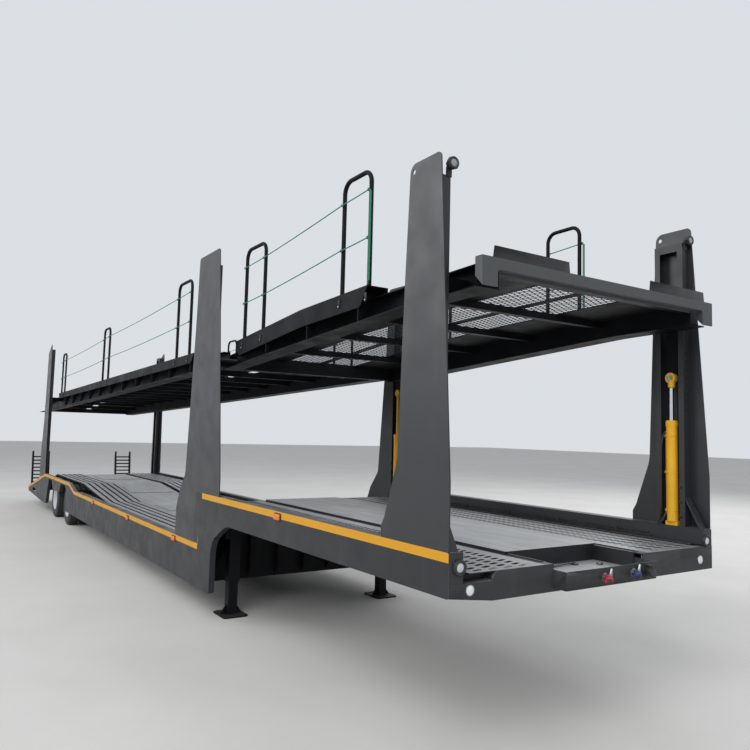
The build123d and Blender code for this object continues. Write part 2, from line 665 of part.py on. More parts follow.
def hinge_lug(y, end_x):
    """A lug round the hinge tube that reaches to a deck section's end member."""
    half = LUG_W / 2
    ring = round_y(HINGE_X, HINGE_Z, HINGE_R + 25, y - half, y + half)
    arm = plate("side", [(HINGE_X, HINGE_Z + HINGE_R + 25), (end_x, HINGE_Z + 45),
                         (end_x, HINGE_Z - 45), (HINGE_X, HINGE_Z - HINGE_R - 25)], y - half, y + half)
    return (ring + arm) - round_y(HINGE_X, HINGE_Z, HINGE_R + RUN_GAP, y - LUG_W, y + LUG_W)


def nose_beam():
    """The beam across the front of the upper deck: face, legs, flanges and wheel stops."""
    x0, x1 = DECK_NOSE, DECK_NOSE + CROSS_W
    low, high = FRONT_LOW[0][1], FRONT_TOP[0][1]
    legs = DECK_HALF - NOSE_LEG
    face = [(-DECK_HALF, low, 0), (-DECK_HALF, high, 0), (DECK_HALF, high, 0), (DECK_HALF, low, 0),
            (legs, low, 0), (legs, high - NOSE_BAND, 20), (-legs, high - NOSE_BAND, 20), (-legs, low, 0)]
    pieces = [plate("front", face, x1 - BEAM_T, x1),
              slab(x0, x1, -DECK_HALF, DECK_HALF, high - BEAM_T, high),
              slab(x0, x1, -legs, legs, high - NOSE_BAND, high - NOSE_BAND + BEAM_T),
              slab(x0, x0 + BEAM_T, -BEAM_IN, BEAM_IN, high - NOSE_BAND, high)]
    for side in (-1, 1):
        pieces.append(slab(x0, x1, side * DECK_HALF, side * (DECK_HALF - BEAM_T), low, high))
        pieces.append(slab(x0, x1, side * legs, side * (legs + BEAM_T), low, high))
        stop = [(side * STOP_Y[0], high), (side * (STOP_Y[0] + 40), high + STOP_TALL),
                (side * (STOP_Y[1] - 70), high + STOP_TALL), (side * STOP_Y[1], high)]
        pieces.append(plate("front", stop, x1 - 12, x1 - 6))
    return fused(pieces)


def front_cross_members():
    """Cross members of the front section, the beam at its nose and the hinge lugs."""
    pieces = cross_members(FRONT_TOP, FRONT_LOW, FRONT_PITCH)
    x = FRONT_TOP[-1][0] + CROSS_W
    last = end_member(x, BEAM_IN, height(x - CROSS_W, FRONT_TOP) - FLOOR_DROP, 122)
    pieces[-1] = fused([last] + [hinge_lug(y, x - CROSS_W + 2) for y in FRONT_LUGS])
    return group([nose_beam()] + pieces)


def rear_cross_members():
    """Cross members of the rear section with its hinge lugs."""
    pieces = cross_members(REAR_TOP, REAR_LOW, REAR_PITCH)
    x = REAR_TOP[0][0]
    first = end_member(x, BEAM_IN, height(x - CROSS_W, REAR_TOP) - FLOOR_DROP, 122)
    pieces[0] = fused([first] + [hinge_lug(y, x - 2) for y in REAR_LUGS])
    x = REAR_TOP[-1][0] + CROSS_W
    pieces[-1] = end_member(x, BEAM_IN, height(x - CROSS_W, REAR_TOP) - FLOOR_DROP, 100)
    return group(pieces)


# Upper floors: wheel tracks beside a middle strip, in lengths from one cross member to the next
FLOOR_Y = {"front": (430.0, BEAM_IN - 2), "rear": (60.0, BEAM_IN - 2)}
MESH_Y = (20.0, 425.0)
MESH_T = 4.0
PANEL_GAP = 3.0


def deck_panels(top, pitch, y_from, y_to, thick):
    """Lengths of floor that lie on the cross members of one deck section."""
    stations = cross_stations(top, pitch)
    pieces = []
    for x_from, x_to in zip(stations, stations[1:]):
        high, low = [min(height(x, top), height(x - CROSS_W, top)) - FLOOR_DROP for x in (x_from, x_to)]
        under = [(x_from - CROSS_W / 2 - PANEL_GAP, high, 0), (x_from - CROSS_W, high, 0),
                 (x_to, low, 0), (x_to - CROSS_W / 2 + PANEL_GAP, low, 0)]
        pieces.append(plate("side", band(under, -thick, thick), -y_to, -y_from))
    return group(pieces)


# Walkways: front end x, rear end x, rise above the side beams, by deck section
WALKWAYS = {"front": (-1086, -3483, 62), "rear": (-4706, -13400, 45)}
WALK_LIP = {"front": 145.0, "rear": 110.0}
WALK_IN = BEAM_IN + 6        # inner lip, which stands on the side beam's flange
GUSSET_PITCH = 780.0
GUSSET_T = 10.0


def walkway(name, top, low):
    """The right walkway: tread, lips, tapered ends and gussets down to the beam's flange."""
    x_from, x_to, rise = WALKWAYS[name]
    line = [(x, z + rise, radius) for x, z, radius in stretch(top, x_from, x_to)]
    tread = plate("side", band(line, 0, SHEET), -WALK_IN, -DECK_HALF)
    inner = plate("side", band(line, 0, rise), -WALK_IN, -WALK_IN - SHEET)
    skirt = band(stretch(line, x_from, x_to), 0, WALK_LIP[name])
    skirt[-1] = (skirt[-1][0] - 90, skirt[-1][1], 60)
    middle = len(skirt) // 2
    skirt[middle] = (skirt[middle][0] + 90, skirt[middle][1], 60)
    outer = plate("side", skirt, -DECK_HALF + SHEET, -DECK_HALF)
    pieces = [tread, inner, outer]
    x = x_from - 120
    while x > x_to + 100:
        head = height(x, line) - SHEET
        foot = max(height(x, low), height(x - GUSSET_T, low)) + BEAM_T
        shoulder = height(x, top)
        rows = [(-WALK_IN - SHEET, head), (-DECK_HALF + SHEET, head), (-DECK_HALF + SHEET, foot),
                (-DECK_HALF + 46, foot), (-BEAM_IN - UPPER_FLANGE - 4, shoulder - 60),
                (-BEAM_IN - UPPER_FLANGE - 4, shoulder + 2), (-WALK_IN - SHEET, shoulder + 2)]
        pieces.append(plate("front", rows, x - GUSSET_T, x))
        x -= GUSSET_PITCH
    return fused(pieces)


# Guard hoops: front leg x, rear leg x, top z
HOOPS = {
    "front": ((-1100, -1470, 3750), (-2880, -3310, 3610)),
    "rear": ((-4930, -5400, 3610), (-8970, -9360, 3500), (-12850, -13200, 3390)),
}
HOOP_R = 17.0
HOOP_BEND = 90.0


def hoop(front, rear, top_z, deck_top, rise):
    """One guard hoop on the walkway: two legs and a top bar, bent from one tube."""
    y = -DECK_HALF + HOOP_R + 8
    feet = [max(height(x + away, deck_top) for away in (-HOOP_R, 0, HOOP_R)) + rise
            for x in (front, rear)]
    corners = [(front, y, feet[0]), (front, y, top_z), (rear, y, top_z), (rear, y, feet[1])]
    path = FilletPolyline(*corners, radius=HOOP_BEND)
    ring = Plane(origin=corners[0], z_dir=(0, 0, 1)) * Circle(HOOP_R)
    return sweep(ring, path=path)


def cylinder_barrel():
    """The right front lift cylinder's barrel with its foot, gland and side pipe."""
    z0, z1 = BARREL_Z
    x = POST_X["front"]
    barrel = round_z(x, -CYL_Y, BARREL_R, z0, z1)
    gland = round_z(x, -CYL_Y, BARREL_R + 4, z1 - 46, z1 - 6)
    pipe = round_z(x - BARREL_R - 6, -CYL_Y, 7, z0 + 60, z1 - 90)
    ports = [round_x(-CYL_Y, z, 9, x - BARREL_R - 10, x - BARREL_R + 12) for z in (z0 + 60, z1 - 90)]
    foot = slab(x - 50, x + 50, -CYL_Y - 40, -CYL_Y + 20, NOSE_RAIL, z0)
    body = fused([barrel, gland, pipe, foot] + ports)
    body -= round_z(x, -CYL_Y, BARREL_R - 10, z0 + 20, z1 - 50)
    return body - round_z(x, -CYL_Y, ROD_R + RUN_GAP, z1 - 60, z1 + 1)


def cylinder_rod():
    """The right front lift cylinder's rod with its eye and piston."""
    x = POST_X["front"]
    z1 = BARREL_Z[1]
    rod = round_z(x, -CYL_Y, ROD_R, z1 - 500, EYE_Z)
    piston = round_z(x, -CYL_Y, BARREL_R - 10.5, z1 - 500, z1 - 440)
    neck = round_z(x, -CYL_Y, ROD_R + 9, EYE_Z - EYE_R - 30, EYE_Z - 10)
    eye = round_y(x, EYE_Z, EYE_R, -CYL_Y - 20, -CYL_Y + 20)
    return fused([rod, piston, neck, eye])


def mid_cylinder():
    """The right mid post's lift cylinder, barrel, rod and eye in one."""
    x = POST_X["mid"]
    top, eye = MID_BARREL_TOP, HINGE_Z - CARRIAGE_TALL / 2 - EYE_R
    barrel = round_z(x, -CYL_Y, BARREL_R, NOSE_RAIL, top)
    gland = round_z(x, -CYL_Y, BARREL_R + 4, top - 46, top - 6)
    rod = round_z(x, -CYL_Y, ROD_R, top, eye - 28)
    return fused([barrel, gland, rod, round_y(x, eye, EYE_R, -CYL_Y - 20, -CYL_Y + 20)])


def landing_leg():
    """The right landing leg: hollow outer tube, inner tube, foot, bracket and gearbox."""
    half = LEG_TUBE / 2
    z0, z1 = LEG_Z
    outer = slab(LEG_X - half, LEG_X + half, -LEG_Y - half, -LEG_Y + half, z0, z1)
    outer = fillet(outer.edges().filter_by(Axis.Z), 12)
    inner_half = half - 12
    outer -= slab(LEG_X - inner_half, LEG_X + inner_half, -LEG_Y - inner_half, -LEG_Y + inner_half,
                  z0 - 1, z1 - SKIN)
    inner = slab(LEG_X - inner_half, LEG_X + inner_half, -LEG_Y - inner_half, -LEG_Y + inner_half,
                 FOOT[2], z0 + 180)
    base = plate("top", [(LEG_X + sx * FOOT[0] / 2, -LEG_Y + sy * FOOT[1] / 2, 30)
                         for sx, sy in ((-1, -1), (1, -1), (1, 1), (-1, 1))], 0, FOOT[2])
    gussets = [plate("front", [(-LEG_Y - side * inner_half, FOOT[2]),
                               (-LEG_Y - side * (FOOT[1] / 2 - 15), FOOT[2]),
                               (-LEG_Y - side * inner_half, 110)], LEG_X - 5, LEG_X + 5)
               for side in (-1, 1)]
    low, high = LEG_BRACKET_Z
    back = slab(STEP, STEP + 12, -LEG_Y - half - 20, -LEG_Y + half + 20, low, high)
    cheek = [(STEP + 12, low + 20), (LEG_X - half, low + 140), (LEG_X - half, high - 40),
             (STEP + 12, high - 15)]
    cheeks = [plate("side", cheek, -LEG_Y + side * half, -LEG_Y + side * (half - SKIN)) for side in (-1, 1)]
    face = -LEG_Y - half
    low, high = LEG_SHAFT_Z - 60, LEG_SHAFT_Z + 60
    gearbox = plate("front", [(face, low, 0), (face, high, 0), (face - 50, high, 20), (face - 50, low, 20)],
                    LEG_X - 45, LEG_X + 55)
    return fused([outer, inner, base, back, gearbox] + gussets + cheeks)


def landing_shaft():
    """The cross shaft that turns both landing legs."""
    reach = LEG_Y - LEG_TUBE / 2
    return round_y(LEG_X + 10, LEG_SHAFT_Z, 18, -reach, reach)


def tyre(centre_y):
    """One tyre about its axle, by a revolve."""
    half = TYRE_W / 2
    rows = [(RIM_R, half - 22, 0), (RIM_R + 30, half, 20), (TYRE_R - 50, half, 60),
            (TYRE_R, half - 22, 18)]
    profile = rows + [(r, -y, radius) for r, y, radius in reversed(rows)]
    face = flat("top", profile, 0)
    return Pos(0, centre_y, TYRE_R) * revolve(face, Axis.Y)


def tyre_pair(x):
    """The right twin tyres of one axle."""
    outer = -(TYRE_FACE - TYRE_W / 2)
    return group([Pos(x, 0, 0) * tyre(outer), Pos(x, 0, 0) * tyre(outer + TWIN_PITCH)])


def rim_pair(x):
    """The right twin rims of one axle with their hub and brake drum."""
    mid = TYRE_FACE - TYRE_W / 2 - TWIN_PITCH / 2
    far = TWIN_PITCH / 2 + TYRE_W / 2 - 10
    seat = RIM_R - RUN_GAP
    bore = SPINDLE_R + RUN_GAP
    half = [(bore, 0), (bore, 130), (0, 130), (0, 150), (60, 150), (HUB_R, 110), (HUB_R, 14),
            (160, 14), (190, 34), (seat - 12, 44), (seat - 12, far), (seat, far), (seat, 0)]
    outer = revolve(make_face(Polyline(*half, close=True)), Axis.Y)
    inner = [(bore, 0), (seat, 0), (seat, -far), (seat - 12, -far), (seat - 12, -36), (190, -30),
             (DRUM_R, -14), (DRUM_R, -far - 60), (bore + 60, -far - 60), (bore + 60, -40), (bore, -40)]
    other = revolve(make_face(Polyline(*inner, close=True)), Axis.Y)
    wheel = (outer + other).clean()
    return Pos(x, -mid, TYRE_R) * Rot(180, 0, 0) * wheel


BRAKE_Y = 600.0
BRAKE_R = 75.0


def axle(x):
    """An axle beam with its spindles and the brake chambers behind it."""
    mid = TYRE_FACE - TYRE_W / 2 - TWIN_PITCH / 2
    pieces = [round_y(x, TYRE_R, AXLE_R, -mid + 50, mid - 50),
              round_y(x, TYRE_R, SPINDLE_R, -mid - 120, mid + 120)]
    for y in (-BRAKE_Y, BRAKE_Y):
        pieces += [round_x(y, TYRE_R, BRAKE_R, x - 220, x - 120),
                   round_x(y, TYRE_R, BRAKE_R + 7, x - 178, x - 162),
                   slab(x - 120, x - AXLE_R / 2, y - 12, y + 12, TYRE_R - 30, TYRE_R + 30)]
    return fused(pieces)


SPRING_SPAN = 560.0          # half the length of the main leaf
SPRING_RISE = 58.0
SPRING_BEND = 1700.0         # its arc ends inside the shortest leaf
SPRING_HALF = 38.0           # half the width
SPRING_SEAT = 12.0
LEAF_T = 14.0
LEAVES = 4
HANGER_FOOT = 80.0


def leaf_line(x):
    """Top of the main leaf above the axle at x."""
    z = TYRE_R + AXLE_R + SPRING_SEAT + LEAVES * LEAF_T
    line = [(x + SPRING_SPAN, z + SPRING_RISE, 0), (x, z, SPRING_BEND),
            (x - SPRING_SPAN, z + SPRING_RISE, 0)]
    return lowered(line, height(x, line) - z)


def spring(x):
    """One right leaf spring on its axle: leaves of falling length, seat and clamp plate."""
    y0, y1 = -SPRING_Y + SPRING_HALF, -SPRING_Y - SPRING_HALF
    seat = TYRE_R + AXLE_R
    foot = seat + SPRING_SEAT
    top = foot + LEAVES * LEAF_T
    pieces = [slab(x - 75, x + 75, y0, y1, seat - 30, foot + 6),
              slab(x - 75, x + 75, y0, y1, top - 6, top + 12)]
    for i in range(LEAVES):
        span = SPRING_SPAN * (1 - 0.2 * i)
        leaf = stretch(leaf_line(x), x + span, x - span)
        pieces.append(plate("side", band(leaf, i * LEAF_T, LEAF_T), y0, y1))
    return fused(pieces) - round_y(x, TYRE_R, AXLE_R, y0 + 1, y1 - 1)


def hanger(x_axle, way):
    """The right spring hanger at one end of a main leaf, way being +1 in front and -1 behind."""
    rail = lowered(deck_line(), FRAME_DROP + FRAME_DEPTH)
    leaf = leaf_line(x_axle)
    inner, outer = x_axle + way * (SPRING_SPAN - HANGER_FOOT), x_axle + way * SPRING_SPAN
    feet = [(x, height(x, leaf)) for x in (inner, outer)]
    heads = [(x, height(x, rail)) for x in (outer + way * 60, inner)]
    return plate("side", feet + heads, -SPRING_Y + SPRING_HALF, -SPRING_Y - SPRING_HALF)


def rocker():
    """The right rocker between the axles, which bears on the ends of both main leaves."""
    rail = lowered(deck_line(), FRAME_DROP + FRAME_DEPTH)
    rows = []
    for x_axle, way in ((AXLE_X[0], -1), (AXLE_X[1], 1)):
        leaf = leaf_line(x_axle)
        feet = [x_axle + way * (SPRING_SPAN - HANGER_FOOT), x_axle + way * SPRING_SPAN]
        rows += [(x, height(x, leaf)) for x in sorted(feet, reverse=True)]
    middle = sum(AXLE_X) / 2
    heads = [(x, height(x, rail)) for x in (middle - 90, middle + 90)]
    return plate("side", rows + heads, -SPRING_Y + SPRING_HALF, -SPRING_Y - SPRING_HALF)


def ramp(side):
    """A loading ramp lying along +x from its hinge: two side bars and rungs."""
    pieces = []
    for y in (RAMP_Y[0], RAMP_Y[1] - 40):
        bar = [(0, -RAMP_T / 2, 0), (RAMP_LENGTH, -RAMP_T / 2, 0), (RAMP_LENGTH, -RAMP_T / 6, 0),
               (RAMP_LENGTH - 120, RAMP_T / 2, 60), (0, RAMP_T / 2, 0)]
        pieces.append(plate("side", bar, side * y, side * (y + 40)))
    for i in range(RUNGS):
        x = 60 + i * (RAMP_LENGTH - 200) / (RUNGS - 1)
        pieces.append(slab(x - 15, x + 15, side * RAMP_Y[0], side * RAMP_Y[1], -15, 15))
    body = fused(pieces)
    barrel = round_y(0, 0, RAMP_T / 2, side * RAMP_Y[0], side * RAMP_Y[1])
    pin = round_y(0, 0, RAMP_PIN_R + RUN_GAP, side * (RAMP_Y[0] - 50), side * (RAMP_Y[1] + 50))
    return (body + barrel) - pin


def ramp_hinges():
    """The hinge pins and their brackets on the tail's edge."""
    x, z = RAMP_HINGE
    pieces = []
    for side in (-1, 1):
        y0, y1 = side * (RAMP_Y[0] - 30), side * (RAMP_Y[1] + 30)
        pin = round_y(x, z, RAMP_PIN_R, y0, y1)
        ears = [plate("side", [(TAIL_END + TAIL_BEAM[0], z + 30), (x, z + 30, 25), (x - 25, z, 0),
                               (x, z - 30, 25), (TAIL_END + TAIL_BEAM[0], z - 30)], ya, yb)
                for ya, yb in ((y0, side * (RAMP_Y[0] - 6)), (side * (RAMP_Y[1] + 6), y1))]
        pieces.append(fused([pin] + ears))
    return pieces


def front_lamps():
    """The round lamps in the side rails' front plates: bezel and body."""
    y, z, radius = FRONT_LAMP
    body = round_x(y, z, radius, 0, SHEET)
    bezel = round_x(y, z, radius + 10, SHEET, SHEET + 10) - round_x(y, z, radius - 6, SHEET + 4, SHEET + 11)
    return both(fused([body, bezel]))


TAIL_LAMP_Y = (560.0, 730.0)


def tail_lamp():
    """The right tail lamp on the back of the tail's beam."""
    face = TAIL_END + TAIL_BEAM[0]
    top = TAIL_DECK - FRAME_DROP
    near, far = TAIL_LAMP_Y
    rows = [(-near, top, 8), (-far, top, 8), (-far, top - TAIL_DEPTH, 8), (-near, top - TAIL_DEPTH, 8)]
    return plate("front", rows, face - 24, face)


def build():
    """Every node of the trailer, by its name."""
    nodes = {}

    def pair(name, shape):
        nodes[name + "_right"] = shape
        nodes[name + "_left"] = mirrored(shape)

    pair("side_panel", side_panel())
    nodes["side_lamps"] = both(group([side_lamp(x, z) for x, z in SIDE_LAMPS]))
    nodes["front_lamps"] = front_lamps()
    nodes["gooseneck_rails"] = gooseneck_rails()
    nodes["gooseneck_side_rails"] = gooseneck_side_rails()
    nodes["gooseneck_cross_members"] = gooseneck_cross_members()
    nodes["coupler_plate"] = coupler_plate()
    nodes["kingpin"] = kingpin()
    nodes["nose_tracks"] = both(nose_track())
    nodes["nose_centre_plate"] = nose_centre_plate()
    nodes["front_bumper"] = front_bumper()
    nodes["line_couplings"] = line_couplings()
    nodes["step_wall"] = step_wall()
    nodes["frame_rails"] = frame_rails()
    nodes["lower_cross_members"] = lower_cross_members()
    pair("wheel_track", wheel_track())
    nodes["centre_plate"] = centre_plate()
    for name in POST_X:
        pair(name + "_post", post(name))
    nodes["mid_carriage"] = mid_carriage()
    nodes["front_deck_beams"] = deck_beams("front", FRONT_TOP, FRONT_LOW)
    nodes["front_cross_members"] = front_cross_members()
    nodes["rear_deck_beams"] = deck_beams("rear", REAR_TOP, REAR_LOW)
    nodes["rear_cross_members"] = rear_cross_members()
    nodes["front_cylinders"] = both(cylinder_barrel())
    nodes["front_rods"] = both(cylinder_rod())
    nodes["mid_cylinders"] = both(mid_cylinder())
    nodes["landing_legs"] = both(landing_leg())
    nodes["landing_shaft"] = landing_shaft()
    for name, x in zip(("front", "rear"), AXLE_X):
        nodes[name + "_axle"] = axle(x)
        pair(name + "_tyres", tyre_pair(x))
        pair(name + "_rims", rim_pair(x))
    hangers = [hanger(AXLE_X[0], 1), rocker(), hanger(AXLE_X[1], -1)]
    nodes["suspension"] = both(group([spring(x) for x in AXLE_X] + hangers))
    for name, top, low, pitch in (("front", FRONT_TOP, FRONT_LOW, FRONT_PITCH),
                                  ("rear", REAR_TOP, REAR_LOW, REAR_PITCH)):
        nodes[name + "_floor"] = both(deck_panels(top, pitch, *FLOOR_Y[name], SHEET))
        nodes[name + "_walkways"] = both(walkway(name, top, low))
        hoops = group([hoop(*row, top, WALKWAYS[name][2]) for row in HOOPS[name]])
        nodes[name + "_hoops"] = both(hoops)
    nodes["front_mesh"] = both(deck_panels(FRONT_TOP, FRONT_PITCH, *MESH_Y, MESH_T))
    stand = Pos(RAMP_HINGE[0], 0, RAMP_HINGE[1]) * Rot(0, -90 - RAMP_LEAN, 0)
    nodes["ramp_right"] = stand * ramp(-1)
    nodes["ramp_left"] = stand * ramp(1)
    nodes["ramp_hinges"] = group(ramp_hinges())
    nodes["tail_lamps"] = both(tail_lamp())
    return nodes


def write(nodes):
    """One STEP file for each node, with the origin below the trailer's middle."""
    os.makedirs("parts", exist_ok=True)
    boxes = [shape.bounding_box() for shape in nodes.values()]
    front = max(box.max.X for box in boxes)
    back = min(box.min.X for box in boxes)
    shift = -(front + back) / 2
    print("moved along x by", round(shift, 3), "length", round(front - back, 3))
    for name, shape in nodes.items():
        export_step(Pos(shift, 0, 0) * group([shape]), os.path.join("parts", name + ".step"))


write(build())
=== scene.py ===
"""Looks of a two-deck car carrier semi-trailer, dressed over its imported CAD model."""

import math
from functools import partialmethod

import bpy
from bpy.props import FloatProperty, FloatVectorProperty, IntProperty, PointerProperty
from mathutils import Matrix, Vector


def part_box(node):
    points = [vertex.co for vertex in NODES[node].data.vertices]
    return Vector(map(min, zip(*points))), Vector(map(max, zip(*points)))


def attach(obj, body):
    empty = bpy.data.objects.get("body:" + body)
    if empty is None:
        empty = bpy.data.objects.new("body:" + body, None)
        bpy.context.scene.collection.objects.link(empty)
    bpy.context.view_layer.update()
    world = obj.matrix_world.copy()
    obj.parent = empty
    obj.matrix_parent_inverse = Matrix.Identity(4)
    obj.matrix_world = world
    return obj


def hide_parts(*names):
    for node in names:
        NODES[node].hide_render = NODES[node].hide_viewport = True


bl_info = {
    "name": "Car carrier trailer",
    "version": (1, 0, 0),
    "blender": (4, 5, 0),
    "location": "3D View > Sidebar > Car carrier",
    "description": "Paints and details a two-deck car carrier semi-trailer",
    "category": "Object",
}

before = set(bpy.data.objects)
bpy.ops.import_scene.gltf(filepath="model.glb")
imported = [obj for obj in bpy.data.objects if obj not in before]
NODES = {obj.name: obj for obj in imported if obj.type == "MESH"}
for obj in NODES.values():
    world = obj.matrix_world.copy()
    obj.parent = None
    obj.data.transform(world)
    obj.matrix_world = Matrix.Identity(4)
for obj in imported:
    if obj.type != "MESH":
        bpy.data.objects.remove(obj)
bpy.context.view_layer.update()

# Places read from the frame, in metres
SIDE_LOW, SIDE_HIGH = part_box("side_panel_right")
NOSE_X = SIDE_HIGH.x
TAIL_X = SIDE_LOW.x
HALF = -SIDE_LOW.y

# Places of the CAD model, in metres; stations are measured from the nose
NOSE_DECK = 1.100
STRIPE_HEIGHT = 0.055
PANEL_STEP = -3.925
AXLES = (-11.420, -12.770)
AXLE_Z = 0.375
POSTS = (-0.265, -3.950, -14.080)
CYLINDER = (POSTS[0], -1.187)
HOOP_Y = -1.105
HOOP_R = 0.017
HOOPS = {  # deck section: front leg x, rear leg x, top z
    "upper_front": ((-1.100, -1.470, 3.750), (-2.880, -3.310, 3.610)),
    "upper_rear": ((-4.930, -5.400, 3.610), (-8.970, -9.360, 3.500), (-12.850, -13.200, 3.390)),
}

STRIPE_PAINT = (0.60, 0.285, 0.008)
DUST = (0.30, 0.28, 0.25)
SMOOTH = math.radians(35.0)
FORWARD = (1, 0, 0)

# Slots of the finishes; the rest are chassis paint
SLOTS = {"nose": "deck_paint", "floor": "deck_paint", "post": "body_paint", "yellow": "cylinder_paint",
         "zinc": "bare_steel", "dull": "bare_steel", "clear": "clear_lens", "white": "clear_lens",
         "smoked": "clear_lens", "amber": "amber_lens", "red": "red_lens"}
FINISHES = {}


# Modelling


def start():
    """Object mode with nothing selected."""
    if bpy.context.object and bpy.context.object.mode != "OBJECT":
        done()
    bpy.ops.object.select_all(action="DESELECT")


def only(*pieces):
    """Selects these pieces alone, the last one active."""
    start()
    for piece in pieces:
        piece.select_set(True)
    bpy.context.view_layer.objects.active = pieces[-1]


def settle(piece):
    """Puts a piece's place, turn and size into its mesh."""
    only(piece)
    bpy.ops.object.transform_apply(location=True, rotation=True, scale=True)
    return piece


def edit(piece, kind="EDGE"):
    """Edit mode on one piece with everything selected."""
    only(piece)
    bpy.ops.object.mode_set(mode="EDIT")
    bpy.ops.mesh.select_mode(type=kind)
    bpy.ops.mesh.select_all(action="SELECT")


def done():
    """Back to object mode."""
    bpy.ops.object.mode_set(mode="OBJECT")


def pick(piece, kind, test):
    """Edit mode with only the faces or vertices that pass a test selected."""
    edit(piece, kind)
    bpy.ops.mesh.select_all(action="DESELECT")
    done()
    for item in (piece.data.polygons if kind == "FACE" else piece.data.vertices):
        item.select = test(item)
    bpy.ops.object.mode_set(mode="EDIT")


def shift(piece, move, test):
    """Moves the vertices that pass a test."""
    pick(piece, "VERT", test)
    bpy.ops.transform.translate(value=move)
    done()


def aimed(piece, axis, centre):
    """Turns a piece's own z to an axis and puts it in place."""
    piece.rotation_mode = "QUATERNION"
    piece.rotation_quaternion = Vector(axis).to_track_quat("Z", "Y")
    piece.location = centre
    return settle(piece)


def block(low, high, bevel=0.0, segments=2):
    """A block between two corners with its edges broken."""
    start()
    low, high = Vector(low), Vector(high)
    bpy.ops.mesh.primitive_cube_add(size=1, location=(low + high) / 2)
    piece = bpy.context.active_object
    piece.scale = high - low
    settle(piece)
    if bevel:
        edit(piece)
        bpy.ops.mesh.bevel(offset=bevel, segments=segments, affect="EDGES")
        done()
    return piece


def turned(first, second, radius, sides=24, bevel=0.0, far_radius=None):
    """A round bar from one point to another, its rims broken; it may taper."""
    start()
    first, second = Vector(first), Vector(second)
    line = second - first
    bpy.ops.mesh.primitive_cone_add(vertices=sides, radius1=radius, depth=line.length,
                                    radius2=radius if far_radius is None else far_radius)
    piece = bpy.context.active_object
    if bevel:
        pick(piece, "FACE", lambda face: abs(face.normal.z) > 0.9)
        bpy.ops.mesh.select_mode(type="EDGE")
        bpy.ops.mesh.bevel(offset=bevel, segments=2, affect="EDGES")
        done()
    return aimed(piece, line, (first + second) / 2)


def ring(centre, axis, radius, thick, sides, round_sides=8):
    """A ring of round bar about an axis."""
    start()
    bpy.ops.mesh.primitive_torus_add(major_segments=sides, minor_segments=round_sides,
                                     major_radius=radius, minor_radius=thick)
    return aimed(bpy.context.active_object, axis, centre)


def dome(centre, radius, rise):
    """A shallow lens that looks forward: half a ball flattened and closed behind."""
    start()
    bpy.ops.mesh.primitive_uv_sphere_add(segments=32, ring_count=12, radius=radius)
    piece = bpy.context.active_object
    edit(piece, "VERT")
    bpy.ops.mesh.bisect(plane_co=(0, 0, 0), plane_no=(0, 0, 1), clear_inner=True, use_fill=True)
    done()
    piece.scale = (1, 1, rise / radius)
    return aimed(piece, FORWARD, centre)


def pipe(points, radius):
    """A bent round pipe through points, as a mesh."""
    start()
    curve = bpy.data.curves.new("pipe", "CURVE")
    curve.dimensions = "3D"
    curve.bevel_depth = radius
    curve.bevel_resolution = 3
    curve.use_fill_caps = True
    spline = curve.splines.new("NURBS")
    spline.points.add(len(points) - 1)
    for point, where in zip(spline.points, points):
        point.co = (*where, 1.0)
    spline.order_u = 3
    spline.use_endpoint_u = True
    spline.resolution_u = 4
    piece = bpy.data.objects.new("pipe", curve)
    bpy.context.scene.collection.objects.link(piece)
    only(piece)
    bpy.ops.object.convert(target="MESH")
    return bpy.context.active_object


def copied(piece):
    """A copy of a piece with its own mesh."""
    only(piece)
    bpy.ops.object.duplicate(linked=False)
    return bpy.context.active_object


def across(piece):
    """A copy of a piece on the trailer's other side."""
    copy = copied(piece)
    copy.scale = (1, -1, 1)
    settle(copy)
    edit(copy, "FACE")
    bpy.ops.mesh.normals_make_consistent(inside=False)
    done()
    return copy


def both(pieces):
    """Pieces and their copies on the other side."""
    return [*pieces, *[across(piece) for piece in pieces]]


def joined(pieces):
    """Several pieces made one."""
    if len(pieces) == 1:
        return pieces[0]
    only(*pieces)
    bpy.ops.object.join()
    return bpy.context.active_object


def finished(pieces, name, paint, body="root", slot="", replaces=None):
    """Joins, names and paints pieces, makes them ride on a body and stand for a CAD node."""
    piece = joined(pieces)
    piece.name = name
    piece.data.name = name
    piece.data.materials.clear()
    piece.data.materials.append(FINISHES[paint])
    only(piece)
    bpy.ops.object.shade_smooth_by_angle(angle=SMOOTH)
    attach(piece, body)
    if slot is not None:
        slot or SLOTS.get(paint, "chassis_paint")
    if replaces:
        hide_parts(replaces)


def applied(piece, kind, **values):
    """A modifier with these values, applied."""
    only(piece)
    modifier = piece.modifiers.new(kind.lower(), kind)
    for key, value in values.items():
        setattr(modifier, key, value)
    bpy.ops.object.modifier_apply(modifier=modifier.name)
    return piece


# Places and simple pieces by their station


def at(x):
    """A station behind the nose, in the frame's x."""
    return NOSE_X + x


def spot(x, y, z):
    """A point at a station."""
    return Vector((at(x), y, z))


def span(middle, reach):
    """Both ends of a stretch round its middle."""
    return middle - reach, middle + reach


def slab(x, y, z, bevel, segments=2):
    """A block given by its two ends along each axis."""
    return block(spot(x[0], y[0], z[0]), spot(x[1], y[1], z[1]), bevel, segments)


def stub(x0, x1, y, z, *shape):
    """A round bar that runs forward between two stations."""
    return turned(spot(x0, y, z), spot(x1, y, z), *shape)


def pin(x, y0, y1, z, *shape):
    """A round bar that runs across the trailer."""
    return turned(spot(x, y0, z), spot(x, y1, z), *shape)


# Values and surfaces of the materials


def feed(tree, value, socket):
    """A shader value, a number or a colour into a socket."""
    if isinstance(value, Value):
        tree.links.new(value.socket, socket)
    elif isinstance(value, (int, float)):
        socket.default_value = value
    else:
        socket.default_value = (*value[:3], 1.0)


